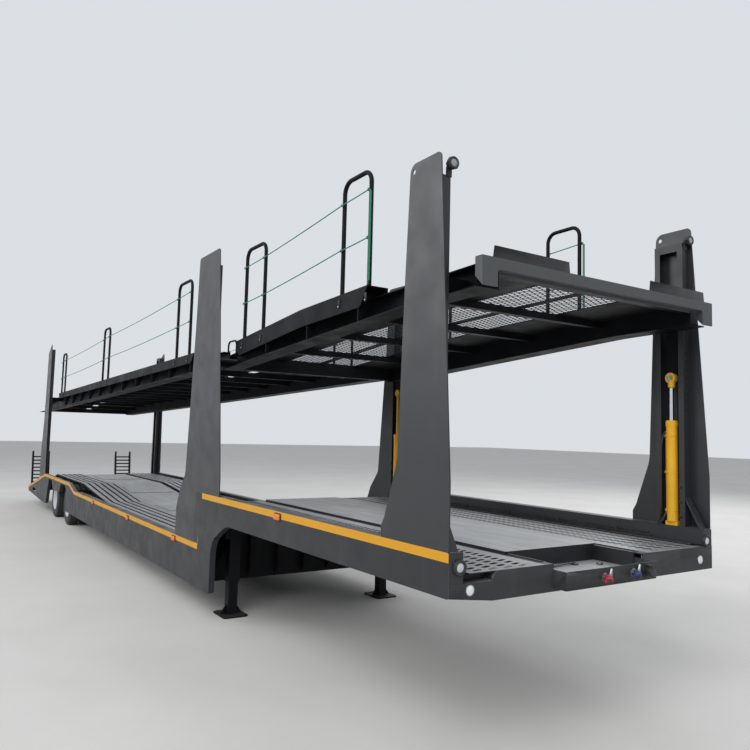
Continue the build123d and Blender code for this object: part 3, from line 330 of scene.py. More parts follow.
class Value:
    """A shader value that is added, multiplied and compared like a number."""

    def __init__(self, tree, socket):
        self.tree = tree
        self.socket = socket

    def through(self, operation, other=0.0, swapped=False):
        """This value and another through one operation."""
        node = self.tree.nodes.new("ShaderNodeMath")
        node.operation = operation
        for socket, value in zip(node.inputs, (other, self) if swapped else (self, other)):
            feed(self.tree, value, socket)
        return Value(self.tree, node.outputs["Value"])

    def ramp(self, low, high, at_low=0.0, at_high=1.0):
        """This value mapped from one range to another, held at its ends."""
        node = self.tree.nodes.new("ShaderNodeMapRange")
        self.tree.links.new(self.socket, node.inputs["Value"])
        for key, number in zip(("From Min", "From Max", "To Min", "To Max"), (low, high, at_low, at_high)):
            node.inputs[key].default_value = number
        return Value(self.tree, node.outputs["Result"])

    def between(self, low, high):
        """1 where this value lies between two numbers."""
        return (self > low) * (self < high)

    __add__ = partialmethod(through, "ADD")
    __sub__ = partialmethod(through, "SUBTRACT")
    __rsub__ = partialmethod(through, "SUBTRACT", swapped=True)
    __mul__ = partialmethod(through, "MULTIPLY")
    __truediv__ = partialmethod(through, "DIVIDE")
    __mod__ = partialmethod(through, "MODULO")
    __gt__ = partialmethod(through, "GREATER_THAN")
    __lt__ = partialmethod(through, "LESS_THAN")
    __abs__ = partialmethod(through, "ABSOLUTE")


class Surface:
    """A material while it is wired."""

    def __init__(self, name):
        self.material = bpy.data.materials.new(name)
        self.material.use_nodes = True
        self.tree = self.material.node_tree
        self.tree.nodes.clear()
        output = self.node("OutputMaterial")
        self.shader = self.node("BsdfPrincipled")
        self.tree.links.new(self.shader.outputs["BSDF"], output.inputs["Surface"])

    def node(self, kind):
        """A new shader node."""
        return self.tree.nodes.new("ShaderNode" + kind)

    def parts(self, source):
        """The x, y and z of the piece's own coordinates or normals."""
        split = self.node("SeparateXYZ")
        self.tree.links.new(self.node("TexCoord").outputs[source], split.inputs["Vector"])
        return [Value(self.tree, split.outputs[axis]) for axis in "XYZ"]

    def noise(self, scale, detail=4.0, stretch=(1, 1, 1), roughness=0.55):
        """Noise on the piece's own coordinates."""
        texture, mapping = self.node("TexNoise"), self.node("Mapping")
        mapping.inputs["Scale"].default_value = stretch
        self.tree.links.new(self.node("TexCoord").outputs["Object"], mapping.inputs["Vector"])
        self.tree.links.new(mapping.outputs["Vector"], texture.inputs["Vector"])
        for key, number in (("Scale", scale), ("Detail", detail), ("Roughness", roughness)):
            texture.inputs[key].default_value = number
        return Value(self.tree, texture.outputs["Fac"])

    def blend(self, share, first, second):
        """One colour over another by a share."""
        node = self.node("Mix")
        node.data_type = "RGBA"
        feed(self.tree, share, node.inputs["Factor"])
        feed(self.tree, first, node.inputs[6])
        feed(self.tree, second, node.inputs[7])
        return Value(self.tree, node.outputs[2])

    def wired(self, base, rough, height=None, strength=0.0, distance=0.0, **others):
        """The material with its colour, roughness, bump and other inputs set."""
        inputs = {"Base_Color": base, "Roughness": rough, **others}
        for key, value in inputs.items():
            feed(self.tree, value, self.shader.inputs[key.replace("_", " ")])
        if height is not None:
            bump = self.node("Bump")
            feed(self.tree, strength, bump.inputs["Strength"])
            feed(self.tree, distance, bump.inputs["Distance"])
            feed(self.tree, height, bump.inputs["Height"])
            self.tree.links.new(bump.outputs["Normal"], self.shader.inputs["Normal"])
        return self.material


def shade(colour, factor):
    """A colour made lighter or darker."""
    return tuple(min(1.0, c * factor) for c in colour[:3])


# Finishes


def coated_steel(name, colour, roughness=0.42, dust=0.35, dust_colour=DUST, streaks=0.08, mask=None,
                 second=STRIPE_PAINT, chips=0.0, sheen=0.30):
    """Satin paint on steel: cloudy colour, faint runs, dust on what faces up, chips and orange peel."""
    coat = Surface(name)
    cloud = coat.noise(1.1, 6.0).ramp(0.35, 0.68)
    mottle = coat.noise(8.0, 5.0).ramp(0.42, 0.68)
    base = coat.blend(cloud, shade(colour, 0.86), shade(colour, 1.12))
    base = coat.blend(mottle * 0.25, base, shade(colour, 1.30))
    if mask is not None:
        base = coat.blend(mask(coat), base, second)
    runs = coat.noise(5.0, 5.0, (1.0, 1.0, 0.12)).ramp(0.58, 0.85, 0.0, streaks)
    base = coat.blend(runs, base, dust_colour)
    grain = coat.noise(3.0, 8.0).ramp(0.35, 0.75, 0.25, 1.0)
    film = coat.parts("Normal")[2].ramp(0.5, 1.0) * grain * dust
    base = coat.blend(film, base, dust_colour)
    if chips:
        worn = coat.noise(26.0, 8.0, roughness=0.7).ramp(0.66, 0.72, 0.0, chips)
        base = coat.blend(worn, base, (0.24, 0.22, 0.20))
    rough = coat.noise(5.0, 6.0).ramp(0.3, 0.7, roughness - 0.07, roughness + 0.12)
    return coat.wired(base, rough + film * 0.3, coat.noise(160.0, 2.0), 0.05, 0.002,
                      Specular_IOR_Level=sheen)


def edge_stripe(coat):
    """A mask that is 1 along the top edge of the side panels' outer faces."""
    x, y, z = coat.parts("Object")
    curve = coat.node("FloatCurve")
    feed(coat.tree, x.ramp(TAIL_X, NOSE_X), curve.inputs["Value"])
    line = curve.mapping.curves[0]
    length, tall = NOSE_X - TAIL_X, 1.25
    corners = [(-16.14, 0.390), (-13.74, 0.820), (-10.95, 0.820), (-10.43, 0.706),
               (-3.93, 0.706), (-3.92, 1.220), (0.0, 1.220)]
    while len(line.points) < len(corners):
        line.points.new(0.5, 0.5)
    for point, (px, pz) in zip(line.points, corners):
        point.location = ((px + length) / length, pz / tall)
        point.handle_type = "VECTOR"
    curve.mapping.update()
    top = Value(coat.tree, curve.outputs["Value"]) * tall
    band = (z > top - STRIPE_HEIGHT) * (z < top + 0.004)
    outer = abs(y) > HALF - 0.002
    return band * outer * (abs(x - at(PANEL_STEP)) > 0.035)


def top_band(coat):
    """A mask for the lighter beam at the head of the front deck, below its wheel stops."""
    x, _, z = coat.parts("Object")
    return (x > at(0.045)) * z.between(2.700, 2.8788)


def yellow_end(metal):
    """A mask for the painted ends of the lift rods."""
    return metal.parts("Object")[2].ramp(2.268, 2.272)


def slot_shade_mask(deck, upward):
    """A mask for the slots of the bars where the deck climbs over the wheels, for the painted shade in
    them.
    """
    x, y, _ = deck.parts("Object")
    bar, slot = 0.1075, 0.11
    row = (abs(y) / bar).through("FLOOR")
    along = (x + 40.0 + row % 2.0 * (slot / 2)) % slot
    side = (abs(y) + 0.0375) % bar
    return (along.between(0.03, 0.08) * side.between(0.064, 0.082) * x.between(at(-16.0), at(-10.6))
            * (upward > 0.5))


def deck_plate(name, colour, bright, shaded_slots=False):
    """Worn deck steel: light where tyres rub, darker and dusty elsewhere, scuffs along the deck, painted
    shade in slots.
    """
    deck = Surface(name)
    patches = deck.noise(1.6, 7.0, (0.35, 1.0, 1.0), 0.62).ramp(0.36, 0.66)
    scuffs = deck.noise(16.0, 6.0, (0.12, 1.0, 1.0), 0.65).ramp(0.48, 0.72)
    upward = deck.parts("Normal")[2].ramp(0.35, 0.9)
    worn = deck.blend(patches, shade(bright, 0.78), bright)
    worn = deck.blend(scuffs * 0.5, worn, shade(bright, 1.35))
    base = deck.blend(upward, colour, worn)
    spots = deck.noise(9.0, 9.0, roughness=0.72).ramp(0.62, 0.70, 0.0, 0.35)
    base = deck.blend(spots * upward, base, (0.16, 0.125, 0.10))
    # Painted shade: near-black dashes in the slots stand for the dark seen through them
    if shaded_slots:
        base = deck.blend(slot_shade_mask(deck, upward), base, (0.006, 0.006, 0.007))
    rough = deck.noise(7.0, 6.0, (0.3, 1, 1)).ramp(0.3, 0.7, 0.38, 0.62)
    return deck.wired(base, rough, deck.noise(55.0, 5.0), 0.12, 0.002, Metallic=0.15)


def tread_rubber(name, colour, centres):
    """Tyre rubber with grooves round the tread and cross cuts in its shoulders, both darkened with painted
    shade, and dusty flanks.
    """
    rubber = Surface(name)
    x, y, z = rubber.parts("Object")
    far = x < sum(centres) / 2
    dx = x - centres[0] - far * (centres[1] - centres[0])
    dz = z - AXLE_Z
    radius = (dx * dx + dz * dz).through("SQRT")
    tread = radius > 0.352
    groove = ((abs(y) + 1.0) % 0.235 + 0.012) % 0.042 < 0.010
    sipe = (dz.through("ARCTAN2", dx) * (375.0 / 28.0)).through("FRACT") < 0.16
    cut = groove.through("MAXIMUM", sipe) * tread
    dusty = rubber.noise(6.0, 7.0).ramp(0.35, 0.75, 0.05, 0.45)
    base = rubber.blend(dusty, colour, (0.11, 0.10, 0.095))
    # Painted shade: the grooves and cross cuts darker than the rubber itself
    base = rubber.blend(cut, base, shade(colour, 0.35))
    rings = (radius * (2 * math.pi / 0.012)).through("SINE")
    return rubber.wired(base, 0.76, (1.0 - cut) + rings * 0.04 * (1.0 - tread), 0.5, 0.006)


def bright_metal(name, colour, roughness, mask=None, second=None):
    """Chromed or bare metal with faint wiping marks; a mask paints part of it."""
    metal = Surface(name)
    tint = metal.blend(metal.noise(12.0, 5.0).ramp(0.3, 0.7), shade(colour, 0.85), colour)
    rough = metal.noise(30.0, 4.0, (1, 1, 0.1)).ramp(0.3, 0.7, roughness * 0.7, roughness * 1.4)
    bare = 1.0
    if mask is not None:
        painted = mask(metal)
        tint = metal.blend(painted, tint, second)
        rough = rough + painted * 0.3
        bare = 1.0 - painted
    return metal.wired(tint, rough, metal.noise(120.0, 2.0), 0.03, 0.001, Metallic=bare)


def lens(name, colour, ribs=900.0):
    """Ribbed plastic of a lamp or reflector."""
    glass = Surface(name)
    cloud = glass.noise(25.0, 4.0).ramp(0.3, 0.7)
    x, y, z = glass.parts("Object")
    lines = ((x + y + z) * ribs).through("SINE")
    return glass.wired(glass.blend(cloud, shade(colour, 0.82), colour), 0.22, lines, 0.25, 0.001,
                       Coat_Weight=0.4)


def moulded(name, colour, roughness=0.5):
    """Moulded plastic or rubber with a fine grain and a little dust."""
    part = Surface(name)
    dusty = part.noise(14.0, 6.0).ramp(0.4, 0.75, 0.0, 0.08)
    rough = part.noise(40.0, 3.0).ramp(0.3, 0.7, roughness - 0.08, roughness + 0.1)
    return part.wired(part.blend(dusty, colour, DUST), rough, part.noise(400.0, 2.0), 0.08, 0.001)


def laid_rope(name, colour):
    """Three-strand rope, its lay across the line as a bump and as painted light and shade on the strands.
    """
    rope = Surface(name)
    x, _, z = rope.parts("Object")
    lay_bump_and_shade = ((x + z * 1.4) * 520.0).through("SINE")
    # Painted light and shade: strands lighter on their crests and darker in the hollows of the lay
    base = rope.blend(lay_bump_and_shade.ramp(-1.0, 1.0), shade(colour, 0.55), shade(colour, 1.25))
    return rope.wired(base, 0.7, lay_bump_and_shade, 0.6, 0.002)


# Settings that a user would change


def colour_setting(name, description, default):
    """A colour on the panel."""
    return FloatVectorProperty(name=name, description=description, default=default, subtype="COLOR",
                               min=0.0, max=1.0)


def length_setting(name, description, default, least):
    """A length on the panel."""
    return FloatProperty(name=name, description=description, default=default, min=least, unit="LENGTH")


def angle_setting(name, description, degrees):
    """An angle on the panel."""
    return FloatProperty(name=name, description=description, default=math.radians(degrees), subtype="ANGLE")


class TrailerPaints(bpy.types.PropertyGroup):
    """Colours of the trailer's finishes."""

    body: colour_setting("Body", "Side panels and posts", (0.023, 0.024, 0.027))
    bumper: colour_setting("Bumper", "Front cross beam", (0.034, 0.036, 0.038))
    chassis: colour_setting("Chassis", "Frame and axles", (0.006, 0.0065, 0.008))
    upper: colour_setting("Upper deck", "Beams and walkways of the upper deck", (0.0050, 0.0055, 0.0070))
    deck: colour_setting("Deck", "Plates that cars stand on", (0.018, 0.018, 0.020))
    worn: colour_setting("Worn deck", "Where tyres rub the plates bright", (0.36, 0.37, 0.38))
    cylinder: colour_setting("Cylinders", "Lift cylinders", (0.80, 0.42, 0.02))
    rim: colour_setting("Rims", "Wheel rims", (0.66, 0.67, 0.69))
    rope: colour_setting("Ropes", "Guard ropes", (0.02, 0.23, 0.12))


class TrailerSizes(bpy.types.PropertyGroup):
    """Sizes of the repeated details."""

    slot_long: length_setting("Slot length", "Slots of the gooseneck tracks", 0.078, 0.01)
    slot_wide: length_setting("Slot width", "Slots of the gooseneck tracks", 0.030, 0.002)
    slot_slant: angle_setting("Slot slant", "Turn of the slots from straight across", -16.0)
    mesh_long: length_setting("Diamond length", "Expanded metal, across the deck", 0.105, 0.01)
    mesh_short: length_setting("Diamond width", "Expanded metal, along the deck", 0.046, 0.005)
    strand: length_setting("Strand", "Width of the expanded metal's strands", 0.0070, 0.001)
    nuts: IntProperty(name="Wheel nuts", description="Nuts on each wheel", default=10, min=3, max=20)
    rope: length_setting("Rope", "Radius of the guard ropes", 0.0045, 0.001)


class TrailerStage(bpy.types.PropertyGroup):
    """Camera and light."""

    lens: FloatProperty(name="Lens", description="Focal length", default=33.55, min=1.0, unit="CAMERA")
    azimuth: angle_setting("Azimuth", "Way the camera looks, from +X", 146.66)
    pitch: angle_setting("Pitch", "How far the camera looks up", 4.82)
    roll: angle_setting("Roll", "How far the camera is turned", 1.44)
    eye: FloatVectorProperty(name="Eye", description="Place of the camera", subtype="TRANSLATION",
                             default=(NOSE_X + 3.006, -3.737, 1.858), unit="LENGTH")
    sky: FloatProperty(name="Sky", description="Strength of the world's light", default=0.60, min=0.0)


# Plates and panels


def loose_panels(node):
    """Each separate panel of a CAD node: x of its ends, y of its sides, height of its top at its ends."""
    mesh = NODES[node].data
    keys = [tuple(round(c, 4) for c in vertex.co) for vertex in mesh.vertices]
    group = {key: key for key in keys}

    def root(key):
        while group[key] != key:
            group[key] = group[group[key]]
            key = group[key]
        return key

    for face in mesh.polygons:
        first = root(keys[face.vertices[0]])
        for other in face.vertices[1:]:
            group[root(keys[other])] = first
    panels = {}
    for key in group:
        panels.setdefault(root(key), []).append(key)
    found = []
    for points in panels.values():
        (x0, x1), (y0, y1) = [(min(p[i] for p in points), max(p[i] for p in points)) for i in (0, 1)]
        z0 = max(p[2] for p in points if p[0] < x0 + 0.001)
        z1 = max(p[2] for p in points if p[0] > x1 - 0.001)
        found.append((x0, x1, y0, y1, z0, z1))
    return sorted(found)


def relaid(node, make):
    """Modelled panels laid over the panels of a CAD node; each size is modelled once."""
    models, made = {}, []
    for x0, x1, y0, y1, z0, z1 in loose_panels(node):
        length, width = x1 - x0, y1 - y0
        key = (round(length, 2), round(width, 2))
        if key not in models:
            models[key] = make(length, width)
        copy = copied(models[key])
        copy.rotation_euler = (0, -math.atan2(z1 - z0, x1 - x0), 0)
        copy.location = ((x0 + x1) / 2, (y0 + y1) / 2, (z0 + z1) / 2)
        made.append(settle(copy))
    for model in models.values():
        only(model)
        bpy.ops.object.delete()
    return made


def pierced(low, high, z, thick, first, pitch, count, slot, slant=0.0, rounding=2):
    """A plate with round-ended slots: one pierced tile repeated, its rim drawn out to the plate's edges."""
    start()
    middle = (first[0], first[1], z)
    bpy.ops.mesh.primitive_plane_add(size=1, location=middle)
    plate = bpy.context.active_object
    plate.scale = (pitch[0], pitch[1], 1)
    settle(plate)

    def inside(face):
        return (face.center - Vector(middle)).length < 0.0005

    rim = 0.05 * min(pitch)
    edit(plate, "FACE")
    bpy.ops.mesh.inset(thickness=rim)
    done()
    pick(plate, "FACE", inside)
    size = [slot[i] / (pitch[i] - 2 * rim) for i in (0, 1)]
    bpy.ops.transform.resize(value=(size[0], size[1], 1), center_override=middle)
    bpy.ops.transform.rotate(value=slant, orient_axis="Z", center_override=middle)
    bpy.ops.mesh.select_mode(type="VERT")
    bpy.ops.mesh.bevel(offset=0.46 * min(slot), segments=rounding, affect="VERTICES")
    done()
    pick(plate, "FACE", inside)
    bpy.ops.mesh.delete(type="FACE")
    done()
    for axis in (0, 1):
        step = [0.0, 0.0, 0.0]
        step[axis] = pitch[axis]
        applied(plate, "ARRAY", use_relative_offset=False, use_constant_offset=True, count=count[axis],
                constant_offset_displace=step, use_merge_vertices=True, merge_threshold=0.0003)
    for axis in (0, 1):
        for goal, edge in ((low[axis], first[axis] - pitch[axis] / 2),
                           (high[axis], first[axis] + pitch[axis] * (count[axis] - 0.5))):
            move = [0.0, 0.0, 0.0]
            move[axis] = goal - edge
            shift(plate, move, lambda vertex: abs(vertex.co[axis] - edge) < 0.0005)
    return applied(plate, "SOLIDIFY", thickness=thick, offset=-1.0)


def expanded(length, width, cell, strand, thick):
    """A panel of expanded metal round the origin, its top at zero: diamonds opened in a sheet."""
    start()
    columns, rows = round(length / cell[0]), round(width / cell[1])
    bpy.ops.mesh.primitive_grid_add(x_subdivisions=columns, y_subdivisions=rows, size=1)
    panel = bpy.context.active_object
    panel.scale = (length, width, 1)
    settle(panel)
    edit(panel, "FACE")
    bpy.ops.mesh.poke()
    bpy.ops.mesh.select_mode(type="EDGE")
    bpy.ops.mesh.select_all(action="DESELECT")
    done()
    mesh = panel.data
    for edge in mesh.edges:
        a, b = (mesh.vertices[i].co for i in edge.vertices)
        level = abs(a.x - b.x) < 1e-5 or abs(a.y - b.y) < 1e-5
        border = abs(a.x + b.x) > length - 1e-4 or abs(a.y + b.y) > width - 1e-4
        edge.select = level and not border
    bpy.ops.object.mode_set(mode="EDIT")
    bpy.ops.mesh.dissolve_edges(use_verts=False)
    bpy.ops.mesh.select_mode(type="FACE")
    bpy.ops.mesh.select_all(action="SELECT")
    bpy.ops.mesh.inset(thickness=strand / 2, use_individual=True)
    bpy.ops.mesh.delete(type="FACE")
    done()
    return applied(panel, "SOLIDIFY", thickness=thick, offset=-1.0)


def merged(node):
    """A copy of a CAD node with its own mesh, its split corners joined."""
    piece = copied(NODES[node])
    edit(piece, "VERT")
    bpy.ops.mesh.remove_doubles(threshold=0.0002)
    done()
    return piece


def shallower(node, stations, width, rise):
    """A merged copy of a node with the lower flange of the channels at some stations raised."""
    piece = merged(node)
    for x in stations:
        x0, x1 = at(x) - 0.001, at(x + width) + 0.001
        inside = [vertex.co.z for vertex in piece.data.vertices if x0 < vertex.co.x < x1]
        middle = (min(inside) + max(inside)) / 2
        shift(piece, (0, 0, rise), lambda vertex: x0 < vertex.co.x < x1 and vertex.co.z < middle)
    return piece


# Steps


PAINTED = (  # a finish, and words in the names of the CAD nodes that it goes on; later rows win
    ("chassis", ""),
    ("body", "side_panel"),
    ("post", "_post_", "gooseneck_side_rails"),
    ("bumper", "bumper"),
    ("upper", "deck_beams", "walkways", "hoops", "mid_carriage"),
    ("inner", "front_cross_members", "rear_cross_members"),
    ("track", "wheel_track"),
    ("nose", "nose_tracks"),
    ("plate", "centre_plate"),
    ("floor", "front_floor", "rear_floor", "front_mesh"),
    ("yellow", "cylinders"),
    ("chrome", "rods"),
    ("steel", "kingpin"),
    ("rim", "rims"),
    ("tyre", "tyres"),
    ("black", "side_lamps", "front_lamps", "tail_lamps", "line_couplings"),
)


class TRAILER_OT_paint(bpy.types.Operator):
    """Gives every CAD node its finish"""

    bl_idname = "trailer.paint"
    bl_label = "Paint the trailer"

    def execute(self, context):
        paints = context.scene.trailer_paints
        FINISHES.update(
            chassis=coated_steel("chassis_black", paints.chassis, 0.50, 0.20, streaks=0.03, chips=0.12,
                                 sheen=0.14),
            body=coated_steel("body_grey", paints.body, 0.42, 0.80, (0.24, 0.245, 0.25), mask=edge_stripe),
            post=coated_steel("post_grey", paints.body, 0.36, 0.20, streaks=0.05, sheen=0.45),
            inner=coated_steel("inner_black", paints.upper, 0.50, 0.20, streaks=0.02, sheen=0.10),
            upper=coated_steel("upper_black", paints.upper, 0.48, 0.30, streaks=0.02, chips=0.06,
                               sheen=0.10),
            head=coated_steel("head_grey", paints.upper, 0.44, 0.10, streaks=0.01, mask=top_band,
                              sheen=0.16, second=shade(paints.bumper, 2.5)),
            strap=coated_steel("strap_grey", paints.body, 0.46, 0.30, sheen=0.2),
            bumper=coated_steel("bumper_grey", paints.bumper, 0.46, 0.85, (0.26, 0.265, 0.27), chips=0.30),
            track=deck_plate("track_steel", paints.deck, paints.worn, shaded_slots=True),
            nose=deck_plate("nose_track_steel", shade(paints.deck, 0.5), shade(paints.worn, 0.98)),
            plate=deck_plate("centre_plate_steel", paints.deck, shade(paints.worn, 1.08)),
            floor=coated_steel("floor_black", paints.upper, 0.5, 0.35, chips=0.1, sheen=0.16),
            yellow=coated_steel("cylinder_yellow", paints.cylinder, 0.34, 0.12, streaks=0.12),
            chrome=bright_metal("chrome", (0.82, 0.83, 0.85), 0.10, yellow_end, paints.cylinder),
            steel=bright_metal("machined_steel", (0.45, 0.45, 0.46), 0.32),
            zinc=bright_metal("zinc_steel", (0.40, 0.41, 0.41), 0.36),
            dull=bright_metal("dull_steel", (0.16, 0.16, 0.165), 0.45),
            rim=coated_steel("rim_white", paints.rim, 0.35, 0.1, streaks=0.15),
            tyre=tread_rubber("tyre_rubber", (0.020, 0.020, 0.022), [at(x) for x in AXLES]),
            clear=lens("clear_lens", (0.62, 0.64, 0.65)),
            smoked=lens("work_lamp_lens", (0.30, 0.31, 0.32)),
            white=lens("white_reflector", (0.86, 0.87, 0.88), 1500.0),
            amber=lens("amber_lens", (0.85, 0.20, 0.01)),
            red=lens("red_lens", (0.55, 0.008, 0.008)),
            black=moulded("black_plastic", (0.012, 0.012, 0.013)),
            red_cap=moulded("red_cap", (0.34, 0.020, 0.018), 0.4),
            blue_cap=moulded("blue_cap", (0.014, 0.032, 0.13), 0.4),
            hose=moulded("hose_rubber", (0.014, 0.014, 0.015), 0.55),
            rope=laid_rope("rope_green", paints.rope),
        )
        for paint, *words in PAINTED:
            for name, node in NODES.items():
                if any(word in name for word in words):
                    node.data.materials.clear()
                    node.data.materials.append(FINISHES[paint])
        return {"FINISHED"}


class TRAILER_OT_nose_tracks(bpy.types.Operator):
    """Slotted track plates of the gooseneck with their outer hems"""

    bl_idname = "trailer.nose_tracks"
    bl_label = "Gooseneck tracks"

    def execute(self, context):
        sizes = context.scene.trailer_sizes
        low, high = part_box("nose_tracks")
        inner, front, first_row = -0.500, at(0.002), -1.000
        pitch, thick = (0.061, 0.120), 0.006
        columns = int((front - low.x - 0.02) / pitch[0])
        spare = front - low.x - columns * pitch[0]
        plate = pierced(low, (front, inner), NOSE_DECK, thick, (low.x + (spare + pitch[0]) / 2, first_row),
                        pitch, (columns, 4), (sizes.slot_wide, sizes.slot_long), sizes.slot_slant)
        hem = block((low.x, low.y, NOSE_DECK - 0.0005), (high.x, low.y + 0.006, NOSE_DECK + 0.012), 0.002)
        closures = [slab((-0.066, -0.058), y, (z, NOSE_DECK - thick), 0.0015)
                    for y, z in (((-1.150, -0.880), 1.035), ((-0.510, -0.425), 0.960))]
        right = joined([hem, *closures, plate])
        finished(both([right]), "gooseneck_tracks", "nose", replaces="nose_tracks")
        return {"FINISHED"}


class TRAILER_OT_nose_beam(bpy.types.Operator):
    """Front beam flush with the tracks, its near end swept up and its far plate run out to the side"""

    bl_idname = "trailer.nose_beam"
    bl_label = "Front beam"

    def execute(self, context):
        beam = merged("front_bumper")
        # Heights of the beam's raised top, in the scene and in the solids
        top, cad_top = NOSE_DECK - 0.0005, 1.085
        shift(beam, (0, 0, top - cad_top), lambda vertex: vertex.co.z > 1.070)
        edit(beam, "VERT")
        bpy.ops.mesh.bisect(plane_co=(0, -0.930, 0), plane_no=(0, 1, 0))
        done()
        for near, rise in ((-1.230, 0.040), (-1.150, 0.033)):
            shift(beam, (0, 0, rise),
                  lambda vertex: near - 0.05 < vertex.co.y < near + 0.02 and vertex.co.z < 0.95)
        side = (0.860, 1.250)
        plate = slab((0.0002, 0.0085), side, (1.030, top), 0.001)
        shelf = slab((-0.060, 0.004), side, (top - 0.008, top - 0.0005), 0.001)
        finished([plate, shelf, beam], "front_beam", "bumper", replaces="front_bumper")
        return {"FINISHED"}


class TRAILER_OT_deck_mesh(bpy.types.Operator):
    """Expanded metal in the middle of the front upper deck"""

    bl_idname = "trailer.deck_mesh"
    bl_label = "Expanded metal"

    def execute(self, context):
        sizes = context.scene.trailer_sizes

        def make(length, width):
            sheet = expanded(length, width, (sizes.mesh_short, sizes.mesh_long), sizes.strand, 0.003)
            bars = [block((-length / 2, y - 0.012, -0.005), (length / 2, y + 0.012, 0.0015), 0.001)
                    for y in (-width / 2, width / 2)]
            return joined([*bars, sheet])

        finished(relaid("front_mesh", make), "expanded_metal", "inner", "upper_front",
                 slot="upper_floor_paint", replaces="front_mesh")
        return {"FINISHED"}


class TRAILER_OT_cross_members(bpy.types.Operator):
    """Slender cross members of both upper decks and the straight-ended wheel stops at the nose"""

    bl_idname = "trailer.cross_members"
    bl_label = "Upper cross members"

    def execute(self, context):
        width = 0.060
        front = shallower("front_cross_members", (-0.010, -0.790, -1.570, -2.350, -3.130), width, 0.058)
        # The stops' upper corners: where they stand in the solids and where they are drawn to
        for near, goal in ((0.440, 0.408), (0.970, 1.030)):
            for side in (-1, 1):
                shift(front, (0, side * (goal - near), 0), lambda vertex: vertex.co.z > 2.93
                      and vertex.co.x > at(0.08) and abs(vertex.co.y - side * near) < 0.06)
        finished([front], "front_deck_members", "head", "upper_front", replaces="front_cross_members")
        rear = shallower("rear_cross_members", [-4.915 - 0.795 * i for i in range(14)], width, 0.045)
        finished([rear], "rear_deck_members", "inner", "upper_rear", replaces="rear_cross_members")
        return {"FINISHED"}


class TRAILER_OT_rear_planks(bpy.types.Operator):
    """Slotted floor plates of the rear upper deck"""

    bl_idname = "trailer.rear_planks"
    bl_label = "Slotted floor"

    def execute(self, context):
        rows, slot = 6, (0.024, 0.112)

        def make(length, width):
            pitch = (length / max(2, round(length / 0.098)), width / rows)
            first = ((pitch[0] - length) / 2, (pitch[1] - width) / 2)
            return pierced((-length / 2, -width / 2), (length / 2, width / 2), 0.0, 0.006, first, pitch,
                           (round(length / pitch[0]), rows), slot, rounding=1)

        finished(relaid("rear_floor", make), "slotted_floor", "floor", "upper_rear", replaces="rear_floor")
        return {"FINISHED"}


class TRAILER_OT_lamps(bpy.types.Operator):
    """Lamps at the nose, along the sides, at the tail and on the front posts, and the nose reflectors"""

    bl_idname = "trailer.lamps"
    bl_label = "Lamps and reflectors"

    def execute(self, context):
        y, z = -1.178, 1.138
        bezel = [stub(0.0055, 0.013, y, z, 0.047, 32, 0.003),
                 ring(spot(0.014, y, z), FORWARD, 0.036, 0.0095, 40, 10)]
        glass = dome(spot(0.0125, y, z), 0.028, 0.010)
        finished(both(bezel), "front_lamp_bezels", "black", replaces="front_lamps")
        finished(both([glass]), "front_lamp_glasses", "clear", replaces="front_lamps")
        y, z = -1.100, 1.008
        rim = ring(spot(0.0085, y, z), FORWARD, 0.029, 0.003, 32)
        button = dome(spot(0.008, y, z), 0.029, 0.006)
        finished(both([rim]), "reflector_rims", "zinc", slot=None)
        finished(both([button]), "round_reflectors", "white")
        bases, lenses = [], []
        for x, z in ((-2.135, 1.178), (-4.720, 0.660), (-6.700, 0.660), (-8.850, 0.660)):
            bases.append(slab(span(x, 0.059), (-HALF - 0.004, -HALF), span(z, 0.031), 0.003))
            lenses.append(slab(span(x, 0.050), (-HALF - 0.020, -HALF - 0.003), span(z, 0.023), 0.007, 3))
            lenses += [slab(span(rib, 0.0015), (-HALF - 0.0215, -HALF - 0.018), span(z, 0.018), 0.001)
                       for rib in (x - 0.017, x, x + 0.017)]
        finished(both(bases), "side_lamp_bases", "black")
        finished(both(lenses), "side_lamp_lenses", "amber")
        low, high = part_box("tail_lamps")
        z = (low.z + high.z) / 2
        inner, width = -0.730, 0.170
        for share, paint in ((0.18, "red"), (0.50, "amber"), (0.82, "clear")):
            y = inner + share * width
            tail = block((low.x - 0.010, y - 0.024, z - 0.019), (low.x + 0.001, y + 0.024, z + 0.019),
                         0.006, 3)
            finished(both([tail]), "tail_lens_" + paint, paint)
        cases, glasses = [], []
        for x, y, z in ((-0.145, -1.172, 3.466), (-0.145, 1.205, 3.416)):
            cases += [stub(x, x + 0.030, y, z, 0.028, 8, 0.003, 0.040),
                      stub(x + 0.030, x + 0.046, y, z, 0.041, 8, 0.004),
                      slab((x - 0.012, x + 0.006), span(y, 0.018), (z - 0.075, z - 0.010), 0.003),
                      ring(spot(x + 0.046, y, z), FORWARD, 0.031, 0.006, 32)]
            glasses.append(dome(spot(x + 0.044, y, z), 0.026, 0.006))
        finished(cases, "work_lamp_cases", "black")
        finished(glasses, "work_lamp_glasses", "smoked")
        return {"FINISHED"}


